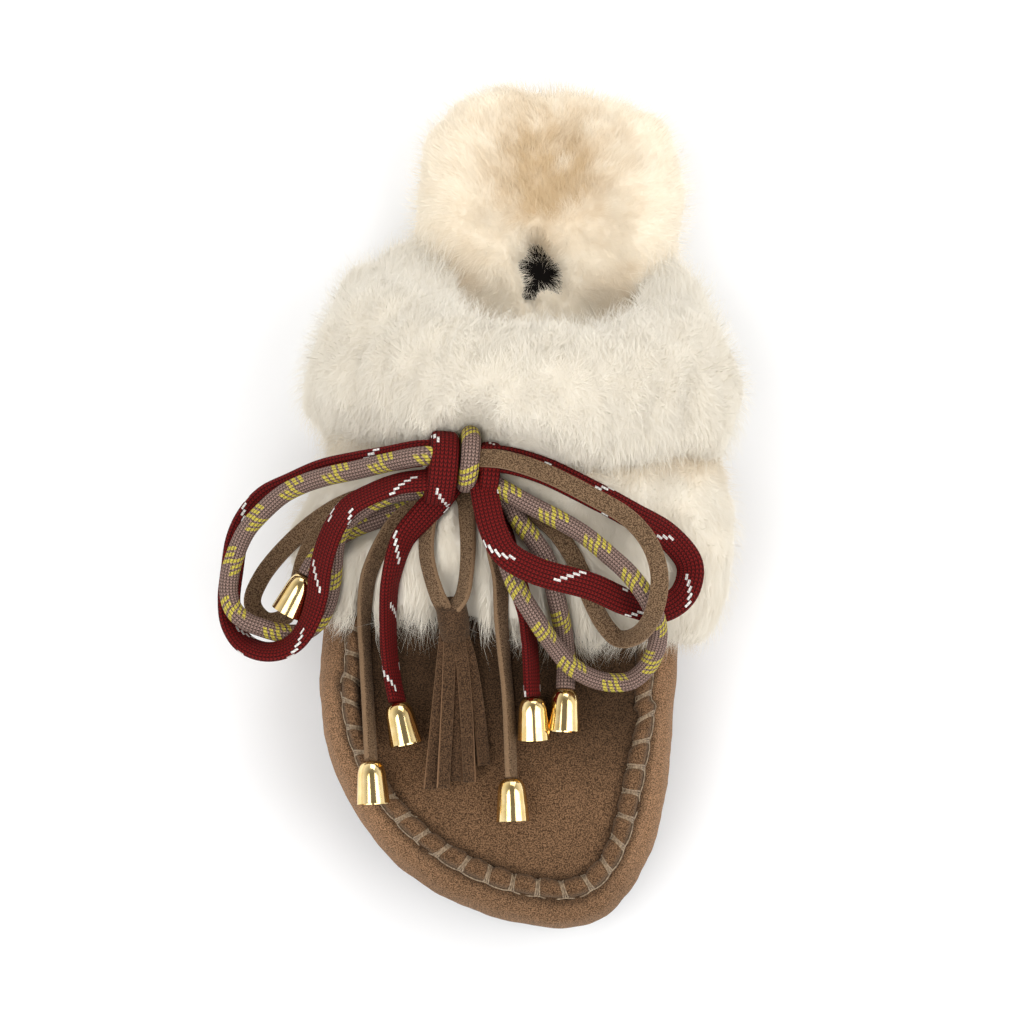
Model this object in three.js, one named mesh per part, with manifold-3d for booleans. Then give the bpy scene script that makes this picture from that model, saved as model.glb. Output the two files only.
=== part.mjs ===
// Sheepskin clog for a right foot: a suede moccasin upper on a rubber sole, a wool cuff round the
// topline, a wool tongue folded down over the vamp, a wool footbed that shows at the open heel, and a
// bow of three laces with bell ends and a suede tassel.
// Millimetres. +Z is up, the toe points along -Y and the inner side of the foot is +X. The origin is on
// the floor under the middle of the shoe's box.

import * as THREE from "three";
import { mergeVertices } from "three/addons/utils/BufferGeometryUtils.js";
import Module from "manifold-3d";

const wasm = await Module();
wasm.setup();
const { lerp } = THREE.MathUtils;

// Driving dimensions
const CLEARANCE = 0.3; // between pieces that touch
const UPPER_WALL = 2.5; // suede with its skin, without the wool
const BURIED = 6; // how far a cutter or a base runs past the surface that it meets

// Sections of the last from heel to toe: the outer and inner edges at the widest level, the line over
// the top of the foot, the height of the moccasin seam and the height of the crown.
const LAST = [
  { y: 145, outer: -31, inner: 39, top: 4, seam: 60, crown: 112 },
  { y: 74, outer: -35, inner: 43, top: 4, seam: 58, crown: 101 },
  { y: 45, outer: -38.5, inner: 46, top: 3, seam: 56, crown: 91 },
  { y: 15, outer: -45, inner: 50, top: 2, seam: 53, crown: 78 },
  { y: -20, outer: -51, inner: 52.5, top: 1, seam: 49, crown: 63 },
  { y: -50, outer: -53.5, inner: 53.3, top: 3, seam: 45, crown: 54 },
  { y: -84, outer: -48, inner: 53.4, top: 12, seam: 41.5, crown: 47 },
];

// The toe is two quarter superellipses about a centre that lies towards the big toe.
const TOE = { x: 20, y: -58, tip: -128.4, outerFullness: 2, innerFullness: 2.7, seam: 38 };
const TOE_STEPS = 7;

// The upper runs from its topline, which slopes from the throat down to the waist, to the toe.
const TOPLINE = { throat: 28, waist: 76, bend: 1.7 };
const SIDE_STEPS = 9;

// Wall of the upper from the sole to the moccasin seam: share of the way over the foot, distance in
// from the widest level, and share of the height up to the seam.
const WALL = [
  { over: 0, inset: 7, rise: 0 },
  { over: 0.06, inset: 2.4, rise: 0.13 },
  { over: 0.16, inset: 0, rise: 0.38 },
  { over: 0.26, inset: 1.2, rise: 0.66 },
  { over: 0.34, inset: 4.6, rise: 0.88 },
  { over: 0.4, inset: 9, rise: 1 },
];
const SEAM = { width: 3.2, height: 2.4, over: 0.4 };
const APRON_STEPS = 4;

// Sole: top and bottom heights along the shoe give the wedge, the arch and the toe spring.
const SOLE_HEIGHTS = [
  { y: 145, top: 18, bottom: 1.5 },
  { y: 112, top: 18, bottom: 0 },
  { y: 58, top: 17, bottom: 0 },
  { y: 42, top: 15.5, bottom: 2.4 },
  { y: 8, top: 13, bottom: 2.4 },
  { y: -10, top: 12, bottom: 0 },
  { y: -82, top: 12.5, bottom: 0 },
  { y: -108, top: 14.5, bottom: 2.6 },
  { y: -130, top: 18, bottom: 7.5 },
];
const SOLE = { inset: 1.6, rib: 1.4, ribFrom: 0.45, ribTo: 0.7, bottomInset: 3, sideSteps: 11 };
const HEEL = { x: 4, y: 84, end: 120, halfWidth: 34, fullness: 2.2, steps: 5 };
const TREAD = { depth: 1.8, width: 2.6, pitch: 11, foreFrom: -76, foreCount: 6, heelFrom: 66, heelCount: 4 };

// Footbed: a sheepskin insole whose wool stands up as a rim round the bare heel.
const FOOTBED = [
  { y: 128.4, middle: 4, half: 17, rim: 11, seat: 10 },
  { y: 126, middle: 4, half: 25, rim: 13, seat: 10 },
  { y: 120, middle: 4, half: 33, rim: 15, seat: 9 },
  { y: 110, middle: 4, half: 38, rim: 17, seat: 8 },
  { y: 94, middle: 4, half: 40, rim: 18, seat: 8 },
  { y: 76, middle: 4, half: 40, rim: 17, seat: 8 },
  { y: 56, middle: 4, half: 37, rim: 13, seat: 7 },
  { y: 20, middle: 3, half: 41, rim: 9, seat: 6 },
  { y: -20, middle: 1, half: 45, rim: 8, seat: 6 },
  { y: -60, middle: 1, half: 45, rim: 8, seat: 6 },
  { y: -90, middle: 7, half: 38, rim: 8, seat: 6 },
  { y: -108, middle: 15, half: 24, rim: 8, seat: 6 },
  { y: -116, middle: 19, half: 8, rim: 7, seat: 6 },
];
const FOOTBED_RIM = { width: 13 };
const HEEL_LOCKS = { count: 16, from: -0.25, halfWidth: 36, reach: 37, length: 13 };
const PATCH = { x: 3, y: 72, width: 15, length: 18, thick: 1.2, seat: 6.5 };

// Wool bands that lie over the upper. A band's middle runs over the foot from side to side.
// throat and waist are the places of its front and back edges on the top line and down at the sole.
const CUFF = {
  throat: { front: 1, back: 37 }, waist: { front: 14, back: 80 }, from: 0.1, steps: 20, lock: 20,
  thick: { outer: 22.5, top: 17, inner: 14.5 },
};
const TONGUE = {
  throat: { front: -43, back: 6 }, waist: { front: -38, back: 22 }, from: 0.2, steps: 18, lock: 17,
  thick: { outer: 13, top: 12, inner: 12.8 },
};
const BAND_ARC_STEPS = 6;
const BAND_FULLNESS = 2.5;
const LOCK = { radius: 7, stations: 2, along: 3, lean: 0.9, proud: 0.36 };

// The bow: three laces tied as one, each with a loop and an end on either side.
const LACES = {
  burgundy: { width: 8, thick: 3, step: 10 },
  taupe: { width: 5.5, thick: 5.5, step: 10 },
  thong: { width: 6, thick: 2, step: 9 },
};
const LACE_SIDES = 8;
const WOOL_GAP = 0.6; // how far the wool stands off the laces
const WRAPS = [
  { name: "burgundy_knot", lace: "burgundy", from: -24.5, to: -16.5, back: 5, front: -16.5, low: 76, high: 91 },
  { name: "taupe_knot", lace: "taupe", from: -16, to: -10.5, back: 7, front: -12.5, low: 77, high: 91.5 },
  { name: "burgundy_tuck", lace: "burgundy", from: -10, to: -4.5, back: 3, front: -14, low: 77.5, high: 89 },
];
const ROUTES = {
  burgundy_loop_left: [
    [-25.3, -1.5, 82.5], [-37, -2.9, 76.5], [-45.7, -4, 72], [-55.3, -5.8, 67.2], [-64.1, -9.2, 62],
    [-72.1, -12.8, 56.8], [-77.1, -18.3, 52.3], [-79.7, -24.5, 49], [-80.5, -32.8, 46.5], [-80.7, -41.6, 45],
    [-79.2, -48.6, 44.5], [-75.4, -53.8, 45.5], [-69.3, -56.6, 48.5], [-63.3, -56.2, 51.5],
    [-58.8, -53.3, 54.3], [-55.7, -48, 57.3], [-54.1, -41.8, 60.2], [-53.6, -35.8, 64.2], [-52.2, -28.9, 69.5],
    [-49.7, -22.6, 73.8], [-45.9, -17.5, 77], [-39.8, -14, 80], [-32.5, -11.2, 82.8], [-25.5, -10.2, 85.4],
  ],
  taupe_loop_left: [
    [-26, -3.6, 87.5], [-36.9, -5.2, 81.5], [-45.6, -7, 77], [-53.4, -8.4, 73], [-60.1, -10.3, 69.5],
    [-66.4, -13.4, 66], [-71.9, -18.2, 62.5], [-76.3, -23.3, 59], [-79.1, -29.9, 55.8], [-80.4, -36.1, 53.2],
    [-80.3, -41.2, 51.5], [-78.5, -45.4, 50.2], [-75, -48.2, 49.4], [-70.5, -49.6, 48.8], [-64.7, -50.6, 47.9],
    [-58.6, -50.2, 47.8], [-53.9, -47, 49.6], [-51.4, -42.2, 53], [-50.3, -36.7, 57], [-50, -31.5, 61.3],
    [-49.7, -26.3, 65.3], [-48, -21.6, 68.8], [-44.4, -18.2, 71.3], [-39.4, -14.8, 73.3], [-34.1, -12.3, 74.6],
    [-26, -10.8, 75.6],
  ],
  thong_loop_left: [
    [-33, -9.5, 67.3], [-48, -12.5, 58.8], [-61.5, -20.5, 47.5], [-72.5, -33, 38], [-74.5, -40.5, 35.5],
    [-70, -45, 34.5], [-64.5, -43.5, 35.5], [-61.5, -35, 39.5], [-59.5, -27, 45], [-56, -21.5, 52],
  ],
  burgundy_loop_right: [
    [-6.5, -17, 86.5], [-4.5, -23, 87], [-0.5, -29.5, 86.8], [8, -33.5, 85], [24.4, -36, 80.5], [36, -38.5, 73],
    [45.5, -38.5, 68], [51.7, -33, 66], [52.8, -25, 67], [46, -18, 71], [34, -13.5, 77.5], [22.5, -9, 80.5],
    [8, -4, 83.5], [-3.4, -2.5, 86.5],
  ],
  taupe_loop_right: [
    [-5.5, -17.5, 79.5], [-2.4, -24, 80], [2.9, -36.5, 78.5], [9.3, -45, 74], [15.2, -51, 66], [21.8, -56.5, 61],
    [30.2, -59, 57], [38.4, -58, 56], [43.5, -53, 60], [45, -46, 68], [41.5, -39, 78.5], [35.4, -31.8, 80],
    [29.3, -26.8, 80], [20.8, -21, 81], [13, -17.5, 82.5], [5.5, -14.5, 83.5],
  ],
  thong_loop_right: [
    [-3.4, -3.5, 90.5], [8, -5.5, 88], [22.5, -11, 86], [34, -16.5, 84], [40.5, -23.5, 83.5], [43.5, -33, 85.5],
    [42.8, -42, 82], [39, -47, 70], [33.5, -47, 62.5], [29.3, -43.5, 64.5], [25, -37.8, 70.5], [20.8, -29.5, 73],
    [17.3, -24.5, 75],
  ],
  burgundy_end_left: [
    [-25, -18.5, 76.5], [-30, -25, 73.5], [-32.8, -36, 68], [-33, -46, 58], [-32, -55, 52.5], [-30.4, -62.5, 51],
    [-28.5, -69, 51.5],
  ],
  taupe_end_left: [
    [-28, -14.5, 68.5], [-37, -17.5, 64.5], [-45.5, -20.8, 61], [-52.5, -25.5, 58], [-56, -30.6, 56.6],
    [-57.9, -34.6, 55.8],
  ],
  thong_end_left: [
    [-32, -19, 70], [-36, -25, 66.5], [-39.5, -34, 62], [-40.3, -45, 50.5], [-39, -56.5, 47.5], [-37.3, -68.5, 47.3],
    [-34.7, -86.5, 50.5],
  ],
  burgundy_end_right: [
    [-2.5, -21.5, 74.5], [1.5, -31, 74], [4.5, -37.5, 73], [7, -43.5, 68.5], [8.2, -49, 62.5], [9.3, -56, 58.8],
    [10.4, -65, 57],
  ],
  taupe_end_right: [
    [-0.5, -13.5, 79.5], [2, -17.5, 78.5], [7.3, -23, 76.5], [11.5, -28.5, 74.5], [15, -38, 70], [18, -46.5, 59.5],
    [19.5, -54.5, 54.8], [19.8, -61.5, 54.5],
  ],
  thong_hanger: [
    [-19.2, -39.5, 68.3], [-23, -29, 71.3], [-23.3, -18.5, 73], [-22.3, -12, 73.6], [-17.8, -8, 73.8],
    [-13.3, -12, 73.9], [-12.2, -18.5, 74.3], [-11.2, -29, 73.3], [-12, -39.5, 68.8],
  ],
  thong_end_right: [[-1.5, -34, 70.3], [-0.4, -43.5, 65], [1.4, -54, 56.5], [3.5, -66, 53.5], [6.2, -88.5, 52.5]],
};
const TASSEL = { top: [-15.4, -41.5, 66.5], head: 11, radius: 5, strips: 5, width: 6, thick: 1.8, spread: 14 };
const TASSEL_MIDDLE = [[-14, -47, 61], [-12.5, -56, 55.5], [-11, -70, 51.5], [-9.5, -89, 49]];

// A bell's profile: distance along it from the lace, and radius.
const BELL = [
  { along: 0, radius: 0 },
  { along: 0, radius: 1.8 },
  { along: 0.7, radius: 2.7 },
  { along: 2, radius: 3.25 },
  { along: 6, radius: 3.65 },
  { along: 10, radius: 4.05 },
  { along: 12.5, radius: 4.4 },
  { along: 12.5, radius: 3.6 },
  { along: 10, radius: 3.2 },
  { along: 10, radius: 0 },
];

const COLOURS = {
  burgundy: 0x5a1f20,
  taupe: 0x82695d,
  thong: 0x90735a,
  gold: 0xb4a26d,
  suede: 0x86694d,
  rubber: 0x4d3a2b,
  wool: 0xece4d2,
  lining: 0xe8d3b0,
  patch: 0x1c1613,
};

// Meshes and solids

// A solid of manifold-3d from a closed three.js geometry.
function solid(geometry) {
  const bare = geometry.clone();
  bare.deleteAttribute("normal");
  bare.deleteAttribute("uv");
  const merged = mergeVertices(bare, 1e-4);
  return new wasm.Manifold(
    new wasm.Mesh({
      numProp: 3,
      vertProperties: merged.attributes.position.array,
      triVerts: new Uint32Array(merged.index.array),
    }),
  );
}

// A three.js geometry from a solid of manifold-3d.
function geometryOf(made) {
  const mesh = made.getMesh();
  const geometry = new THREE.BufferGeometry();
  geometry.setAttribute("position", new THREE.BufferAttribute(mesh.vertProperties, 3));
  geometry.setIndex(new THREE.BufferAttribute(mesh.triVerts, 1));
  geometry.computeVertexNormals();
  return geometry;
}

// A named mesh from a geometry or a solid, with its finish.
function piece(name, shape, colour, roughness = 0.9, metalness = 0) {
  const geometry = shape.isBufferGeometry ? shape : geometryOf(shape);
  const mesh = new THREE.Mesh(geometry, new THREE.MeshStandardMaterial({ color: colour, roughness, metalness }));
  mesh.name = name;
  return mesh;
}

// A geometry from rows of points that are joined row to row. Rows close on themselves where asked, and
// the first and last rows are closed by fans.
function joinRows(rows, { rowsClose = false, capEnds = false } = {}) {
  const count = rows[0].length;
  const points = rows.flat();
  const faces = [];
  const steps = rowsClose ? count : count - 1;
  for (let i = 0; i + 1 < rows.length; i++) {
    for (let j = 0; j < steps; j++) {
      const a = i * count + j;
      const b = i * count + ((j + 1) % count);
      faces.push(a, b, b + count, a, b + count, a + count);
    }
  }
  if (capEnds) {
    const last = (rows.length - 1) * count;
    for (let j = 1; j + 1 < count; j++) {
      faces.push(0, j + 1, j);
      faces.push(last, last + j, last + j + 1);
    }
  }
  const geometry = new THREE.BufferGeometry().setFromPoints(points);
  geometry.setIndex(faces);
  return geometry;
}

// Curves through short tables

// A smooth function of y through one column of a table whose rows run from heel to toe. It never passes
// the values on either side, so equal rows give a flat stretch.
function column(table, name) {
  const rate = (i) => (table[i + 1][name] - table[i][name]) / (table[i + 1].y - table[i].y);
  const slope = (i) => {
    const before = rate(Math.max(i - 1, 0));
    const after = rate(Math.min(i, table.length - 2));
    return before * after <= 0 ? 0 : (2 * before * after) / (before + after);
  };
  return (y) => {
    let i = 0;
    while (i < table.length - 2 && y < table[i + 1].y) i++;
    const span = table[i + 1].y - table[i].y;
    const t = THREE.MathUtils.clamp((y - table[i].y) / span, 0, 1);
    const ends = lerp(table[i][name], table[i + 1][name], 3 * t ** 2 - 2 * t ** 3);
    return ends + span * (slope(i) * (t ** 3 - 2 * t ** 2 + t) + slope(i + 1) * (t ** 3 - t ** 2));
  };
}

const outerEdge = column(LAST, "outer");
const innerEdge = column(LAST, "inner");
const topLine = column(LAST, "top");
const seamHeight = column(LAST, "seam");
const crownHeight = column(LAST, "crown");
const soleTop = column(SOLE_HEIGHTS, "top");
const soleBottom = column(SOLE_HEIGHTS, "bottom");

// One quarter of a superellipse: angle 0 lies on the x axis and a quarter turn on the y axis.
function quarter(centre, reachX, reachY, fullness, angle) {
  return {
    x: centre.x + reachX * Math.cos(angle) ** (2 / fullness),
    y: centre.y + reachY * Math.sin(angle) ** (2 / fullness),
  };
}

// A point of the toe's outline. Angle 0 is on the outer side, a half turn on the inner side.
function toeOutline(angle) {
  const onOuter = angle <= Math.PI / 2;
  const edge = onOuter ? outerEdge(TOE.y) : innerEdge(TOE.y);
  const fullness = onOuter ? TOE.outerFullness : TOE.innerFullness;
  return quarter(TOE, edge - TOE.x, TOE.tip - TOE.y, fullness, onOuter ? angle : Math.PI - angle);
}

// Upper

// Points of one half section of the upper, from the sole over the wall, the moccasin seam and the apron
// to the top line. foot gives the plan point of a share of the way over, grow swells the form.
function halfSection({ foot, seam, crown, base, grow, ridge }) {
  const points = [];
  const add = (over, inset, share, z) => {
    const p = foot(over, inset - grow, share);
    points.push(new THREE.Vector3(p.x, p.y, z));
  };
  for (const { over, inset, rise } of WALL) add(over, inset, 0, lerp(base, seam + grow, rise));
  const foothold = WALL[WALL.length - 1].inset;
  const far = foothold + SEAM.width;
  const swell = ridge ? 2 * grow : 0;
  if (ridge) {
    add(SEAM.over, foothold + 0.4, 0, seam + grow + SEAM.height);
    add(SEAM.over, far + swell - 0.4, 0, seam + grow + SEAM.height);
  }
  add(SEAM.over, far + swell, 0, seam + grow + swell);
  for (let i = 1; i <= APRON_STEPS; i++) {
    const share = i / APRON_STEPS;
    const height = lerp(seam, crown, 1 - (1 - share) ** 2) + grow;
    add(lerp(SEAM.over, 1, share), far, share, height);
  }
  return points;
}

// The plan point of a side half section at y: inset from the edge, then a share of the way to the top line.
function sidePoint(edge, y, inset, share) {
  const towards = Math.sign(topLine(y) - edge(y));
  return { x: lerp(edge(y) + towards * inset, topLine(y), share), y };
}

// A half section's points with its base: straight down from the wall by drop, then in to the middle line.
function withBase(x, y, points, drop) {
  const foot = points[0].clone();
  foot.z -= drop;
  return [new THREE.Vector3(x, y, soleTop(y) + CLEARANCE - drop), foot, ...points];
}

// A half section on one side. start and end are the section's places at the sole and on the top line.
// slope is 1 at the topline, where the section leans like the topline does, and 0 where the toe begins.
function sideSection(edge, start, end, slope, options) {
  const half = Math.abs(edge(start) - topLine(end));
  const rows = (over, inset, share) => {
    const leaning = 1 - (1 - over) ** TOPLINE.bend;
    return lerp(start, end, lerp(lerp(inset / half, 1, share), leaning, slope));
  };
  const foot = (over, inset, share) => sidePoint(edge, rows(over, inset, share), inset, share);
  const points = halfSection({
    foot,
    seam: seamHeight(rows(SEAM.over, WALL[WALL.length - 1].inset, 0)),
    crown: crownHeight(end),
    base: soleTop(start) + CLEARANCE,
    ...options,
  });
  return withBase(topLine(start), start, points, options.drop);
}

// A half section at the toe, which runs from the outline to the end of the top line.
function toeSection(angle, options) {
  const end = LAST[LAST.length - 1];
  const rim = toeOutline(angle);
  const way = new THREE.Vector2(end.top - rim.x, end.y - rim.y);
  const reach = way.length();
  way.normalize();
  const foot = (over, inset, share) => {
    const along = lerp(inset, reach, share);
    return { x: rim.x + way.x * along, y: rim.y + way.y * along };
  };
  const points = halfSection({
    foot,
    seam: lerp(seamHeight(TOE.y), TOE.seam, Math.sin(angle) ** 2),
    crown: end.crown,
    base: soleTop(rim.y) + CLEARANCE,
    ...options,
  });
  return withBase(end.top, end.y, points, options.drop);
}

// The form inside the upper's outer face as one closed solid. grow swells it, drop carries its base
// down, back carries it past the topline by a share of its length, and ridge raises the moccasin seam.
function lastForm({ drop, grow = 0, back = 0, ridge = false }) {
  const options = { grow, drop, ridge };
  const end = LAST[LAST.length - 1];
  const side = (edge) => {
    const rows = [];
    for (let i = -Math.ceil(back * SIDE_STEPS); i < SIDE_STEPS; i++) {
      const share = Math.max(i / SIDE_STEPS, -back);
      const start = lerp(TOPLINE.waist, TOE.y, share);
      rows.push(sideSection(edge, start, lerp(TOPLINE.throat, end.y, share), 1 - Math.max(share, 0), options));
    }
    return rows;
  };
  const toe = [];
  for (let i = 0; i <= 2 * TOE_STEPS; i++) toe.push(toeSection((i / (2 * TOE_STEPS)) * Math.PI, options));
  const rows = [...side(outerEdge), ...toe, ...side(innerEdge).reverse()];
  return solid(joinRows(rows.reverse(), { capEnds: true }));
}

// Sole

// Stations round the whole shoe: a point of the outline, and the point of the middle line it faces.
function soleStations() {
  const stations = [];
  const end = LAST[LAST.length - 1];
  const heel = (sign, angle) => {
    const rim = quarter(HEEL, sign * HEEL.halfWidth, HEEL.end - HEEL.y, HEEL.fullness, angle);
    stations.push({ rim, middle: { x: topLine(HEEL.y), y: HEEL.y } });
  };
  const side = (edge, sign, i) => {
    const y = lerp(HEEL.y, TOE.y, i / SOLE.sideSteps);
    const blend = THREE.MathUtils.smoothstep(y, HEEL.y - 50, HEEL.y);
    const x = lerp(edge(y), HEEL.x + sign * HEEL.halfWidth, blend);
    stations.push({ rim: { x, y }, middle: { x: topLine(y), y } });
  };
  const quarterTurn = Math.PI / 2;
  for (let i = 0; i < HEEL.steps; i++) heel(-1, quarterTurn * (1 - i / HEEL.steps));
  for (let i = 0; i < SOLE.sideSteps; i++) side(outerEdge, -1, i);
  for (let i = 0; i <= 2 * TOE_STEPS; i++) {
    stations.push({ rim: toeOutline((quarterTurn * i) / TOE_STEPS), middle: { x: end.top, y: end.y } });
  }
  for (let i = SOLE.sideSteps - 1; i >= 0; i--) side(innerEdge, 1, i);
  for (let i = 1; i < HEEL.steps; i++) heel(1, (quarterTurn * i) / HEEL.steps);
  return stations;
}

// The sole as a closed geometry: bottom, rounded lower edge, rib round the side, top. lift raises it.
function soleGeometry(lift = 0) {
  const rows = soleStations().map(({ rim, middle }) => {
    const way = new THREE.Vector2(middle.x - rim.x, middle.y - rim.y);
    const reach = way.length();
    way.normalize();
    const at = (inset, height) => {
      const p = { x: rim.x + way.x * inset, y: rim.y + way.y * inset };
      const low = soleBottom(p.y);
      return new THREE.Vector3(p.x, p.y, lerp(low, soleTop(p.y), height) + lift);
    };
    const bottomEdge = SOLE.inset + SOLE.bottomInset;
    const inside = [0.5].map((share) => lerp(bottomEdge, reach, share));
    return [
      at(reach, 0),
      ...inside.map((inset) => at(inset, 0)),
      at(bottomEdge, 0),
      at(SOLE.inset + SOLE.rib, 0.14),
      at(SOLE.inset + SOLE.rib, SOLE.ribFrom),
      at(SOLE.inset, SOLE.ribFrom + 0.03),
      at(SOLE.inset, SOLE.ribTo),
      at(SOLE.inset + SOLE.rib, SOLE.ribTo + 0.03),
      at(SOLE.inset + SOLE.rib, 1),
      ...inside.reverse().map((inset) => at(inset, 1)),
      at(reach, 1),
    ];
  });
  return joinRows([...rows, rows[0]].reverse());
}

// Cross grooves under the forefoot and the heel, as one cutter for each.
function grooves() {
  const cutters = [];
  const add = (from, count) => {
    for (let i = 0; i < count; i++) {
      const bar = new THREE.BoxGeometry(160, TREAD.width, 2 * TREAD.depth);
      cutters.push(solid(bar.translate(0, from + i * TREAD.pitch, 0)));
    }
  };
  add(TREAD.foreFrom, TREAD.foreCount);
  add(TREAD.heelFrom, TREAD.heelCount);
  return cutters;
}

// Footbed

// The footbed as a loft along the shoe: flat below, a rounded woolly rim, and a seat between the rims.
// grow swells it.
function footbedGeometry(grow) {
  const rows = FOOTBED.map((row) => {
    const { y, middle } = row;
    const half = row.half + grow;
    const rim = row.rim + grow;
    const seat = row.seat + grow;
    const base = soleTop(y) - BURIED / 2;
    const floor = soleTop(y) + CLEARANCE;
    const inward = Math.min(FOOTBED_RIM.width, half * 0.6);
    const sideOf = (sign) =>
      [
        [half - 3, base],
        [half - 1, floor],
        [half, floor + 0.4 * rim],
        [half - 0.18 * inward, floor + 0.8 * rim],
        [half - 0.5 * inward, floor + rim],
        [half - inward, floor + lerp(rim, seat, 0.6)],
      ].map(([x, z]) => new THREE.Vector3(middle + sign * x, y, z));
    return [...sideOf(-1), new THREE.Vector3(middle, y, floor + seat), ...sideOf(1).reverse()];
  });
  return joinRows(rows.reverse(), { rowsClose: true, capEnds: true });
}

// Wool

// A number from 0 to 1 that depends only on its two counters.
function scatter(i, k) {
  const wave = Math.sin(i * 12.9898 + k * 78.233) * 43758.5453;
  return wave - Math.floor(wave);
}

// A blunt lock of wool that lies along a direction, sunk into the body that it stands on.
function lock(point, direction, length, radius) {
  const tuft = new THREE.IcosahedronGeometry(1, 0).scale(radius, length / 2, radius);
  const turn = new THREE.Quaternion().setFromUnitVectors(new THREE.Vector3(0, 1, 0), direction);
  tuft.translate(0, length * (LOCK.proud - 0.5), 0).applyQuaternion(turn);
  return solid(tuft.translate(point.x, point.y, point.z));
}

// A point on the upper's outer face, without its seam: over runs from 0 at the sole to 1 on the top line.
function onUpper(edge, y, over) {
  const foothold = WALL[WALL.length - 1].inset + SEAM.width;
  if (over >= SEAM.over) {
    const share = (over - SEAM.over) / (1 - SEAM.over);
    const p = sidePoint(edge, y, foothold, share);
    return new THREE.Vector3(p.x, y, lerp(seamHeight(y), crownHeight(y), 1 - (1 - share) ** 2));
  }
  let i = 0;
  while (i < WALL.length - 2 && over > WALL[i + 1].over) i++;
  const t = (over - WALL[i].over) / (WALL[i + 1].over - WALL[i].over);
  const inset = lerp(WALL[i].inset, WALL[i + 1].inset, t);
  const rise = lerp(WALL[i].rise, WALL[i + 1].rise, t);
  const p = sidePoint(edge, y, inset, 0);
  return new THREE.Vector3(p.x, y, lerp(soleTop(y), seamHeight(y), rise));
}

// The stations of a wool band from the outer side over the foot to the inner side, each with its place
// on the upper, the direction out of the upper and the direction across the band.
function bandStations(band) {
  const stations = [];
  for (let j = 0; j <= band.steps; j++) {
    const way = (2 * j) / band.steps - 1;
    const over = lerp(1, band.from, Math.abs(way));
    const edge = way <= 0 ? outerEdge : innerEdge;
    const fall = (1 - over) ** TOPLINE.bend;
    const front = lerp(band.throat.front, band.waist.front, fall);
    const back = lerp(band.throat.back, band.waist.back, fall);
    const y = (front + back) / 2;
    const place = onUpper(edge, y, over);
    const across = onUpper(edge, y + 2, over).sub(onUpper(edge, y - 2, over)).normalize();
    const low = onUpper(edge, y, Math.max(over - 0.06, 0));
    const high = onUpper(edge, y, Math.min(over + 0.06, 1));
    const along = high.sub(low).multiplyScalar(edge === outerEdge ? 1 : -1);
    if (over > 0.97) along.set(1, 0, 0);
    const out = new THREE.Vector3().crossVectors(along, across).normalize();
    const taper = Math.sqrt(1 - THREE.MathUtils.clamp((Math.abs(way) - 0.86) / 0.15, 0, 1) ** 2);
    const thick = lerp(band.thick.top, way < 0 ? band.thick.outer : band.thick.inner, Math.abs(way)) * taper;
    stations.push({ place, out, across, thick, half: (back - front) / 2 / Math.hypot(across.x, across.y) });
  }
  return stations;
}

// A point of a band's rounded face: angle 0 is its back edge and a half turn its front edge.
function onBand(station, angle, grow) {
  const c = Math.cos(angle);
  const u = (station.half + grow) * Math.sign(c) * Math.abs(c) ** (2 / BAND_FULLNESS);
  const v = (station.thick + grow) * Math.sin(angle) ** (2 / BAND_FULLNESS);
  return station.place.clone().addScaledVector(station.across, u).addScaledVector(station.out, v);
}

// A wool band as a solid: a rounded body with locks fused on. grow swells it.
function woolBand(band, grow = 0) {
  const stations = bandStations(band);
  const rows = stations.map((station) => {
    const row = [];
    for (let k = 0; k <= BAND_ARC_STEPS; k++) row.push(onBand(station, (k / BAND_ARC_STEPS) * Math.PI, grow));
    const sunk = (p) => p.clone().addScaledVector(station.out, -BURIED);
    return [...row, sunk(row[BAND_ARC_STEPS]), sunk(row[0])];
  });
  const locks = [];
  for (let j = 1; j < stations.length - 1; j += LOCK.stations) {
    for (let k = 0; k < LOCK.along; k++) {
      const angle = ((k + 0.5 + 0.5 * (scatter(j, k) - 0.5)) / LOCK.along) * Math.PI;
      const point = onBand(stations[j], angle, grow);
      const direction = stations[j].out.clone().multiplyScalar(Math.sin(angle));
      direction.addScaledVector(stations[j].across, Math.cos(angle) * LOCK.lean + (scatter(k, j) - 0.5));
      const way = (2 * j) / (stations.length - 1) - 1;
      direction.addScaledVector(new THREE.Vector3(way, 0, -Math.abs(way)), 0.9).normalize();
      const length = band.lock * (0.8 + 0.4 * scatter(j + 7, k));
      locks.push(lock(point, direction, length + 2 * grow, LOCK.radius + grow));
    }
  }
  return wasm.Manifold.union([solid(joinRows(rows, { rowsClose: true, capEnds: true })), ...locks]);
}

// Locks round the bare heel of the footbed. grow swells them.
function heelLocks(grow) {
  const locks = [];
  for (let i = 0; i <= HEEL_LOCKS.count; i++) {
    const angle = lerp(HEEL_LOCKS.from, Math.PI - HEEL_LOCKS.from, i / HEEL_LOCKS.count);
    const direction = new THREE.Vector3(Math.cos(angle), Math.sin(angle), 0.5 * scatter(i, 3)).normalize();
    const c = Math.cos(angle);
    const point = new THREE.Vector3(
      HEEL.x + HEEL_LOCKS.halfWidth * Math.sign(c) * Math.abs(c) ** 0.8,
      HEEL.y + HEEL_LOCKS.reach * Math.sign(Math.sin(angle)) * Math.abs(Math.sin(angle)) ** 0.8,
      soleTop(HEEL.y) + 9 + 5 * scatter(i, 1),
    );
    locks.push(lock(point, direction, HEEL_LOCKS.length + 2 * grow, LOCK.radius + grow));
  }
  return locks;
}

// Laces

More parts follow.
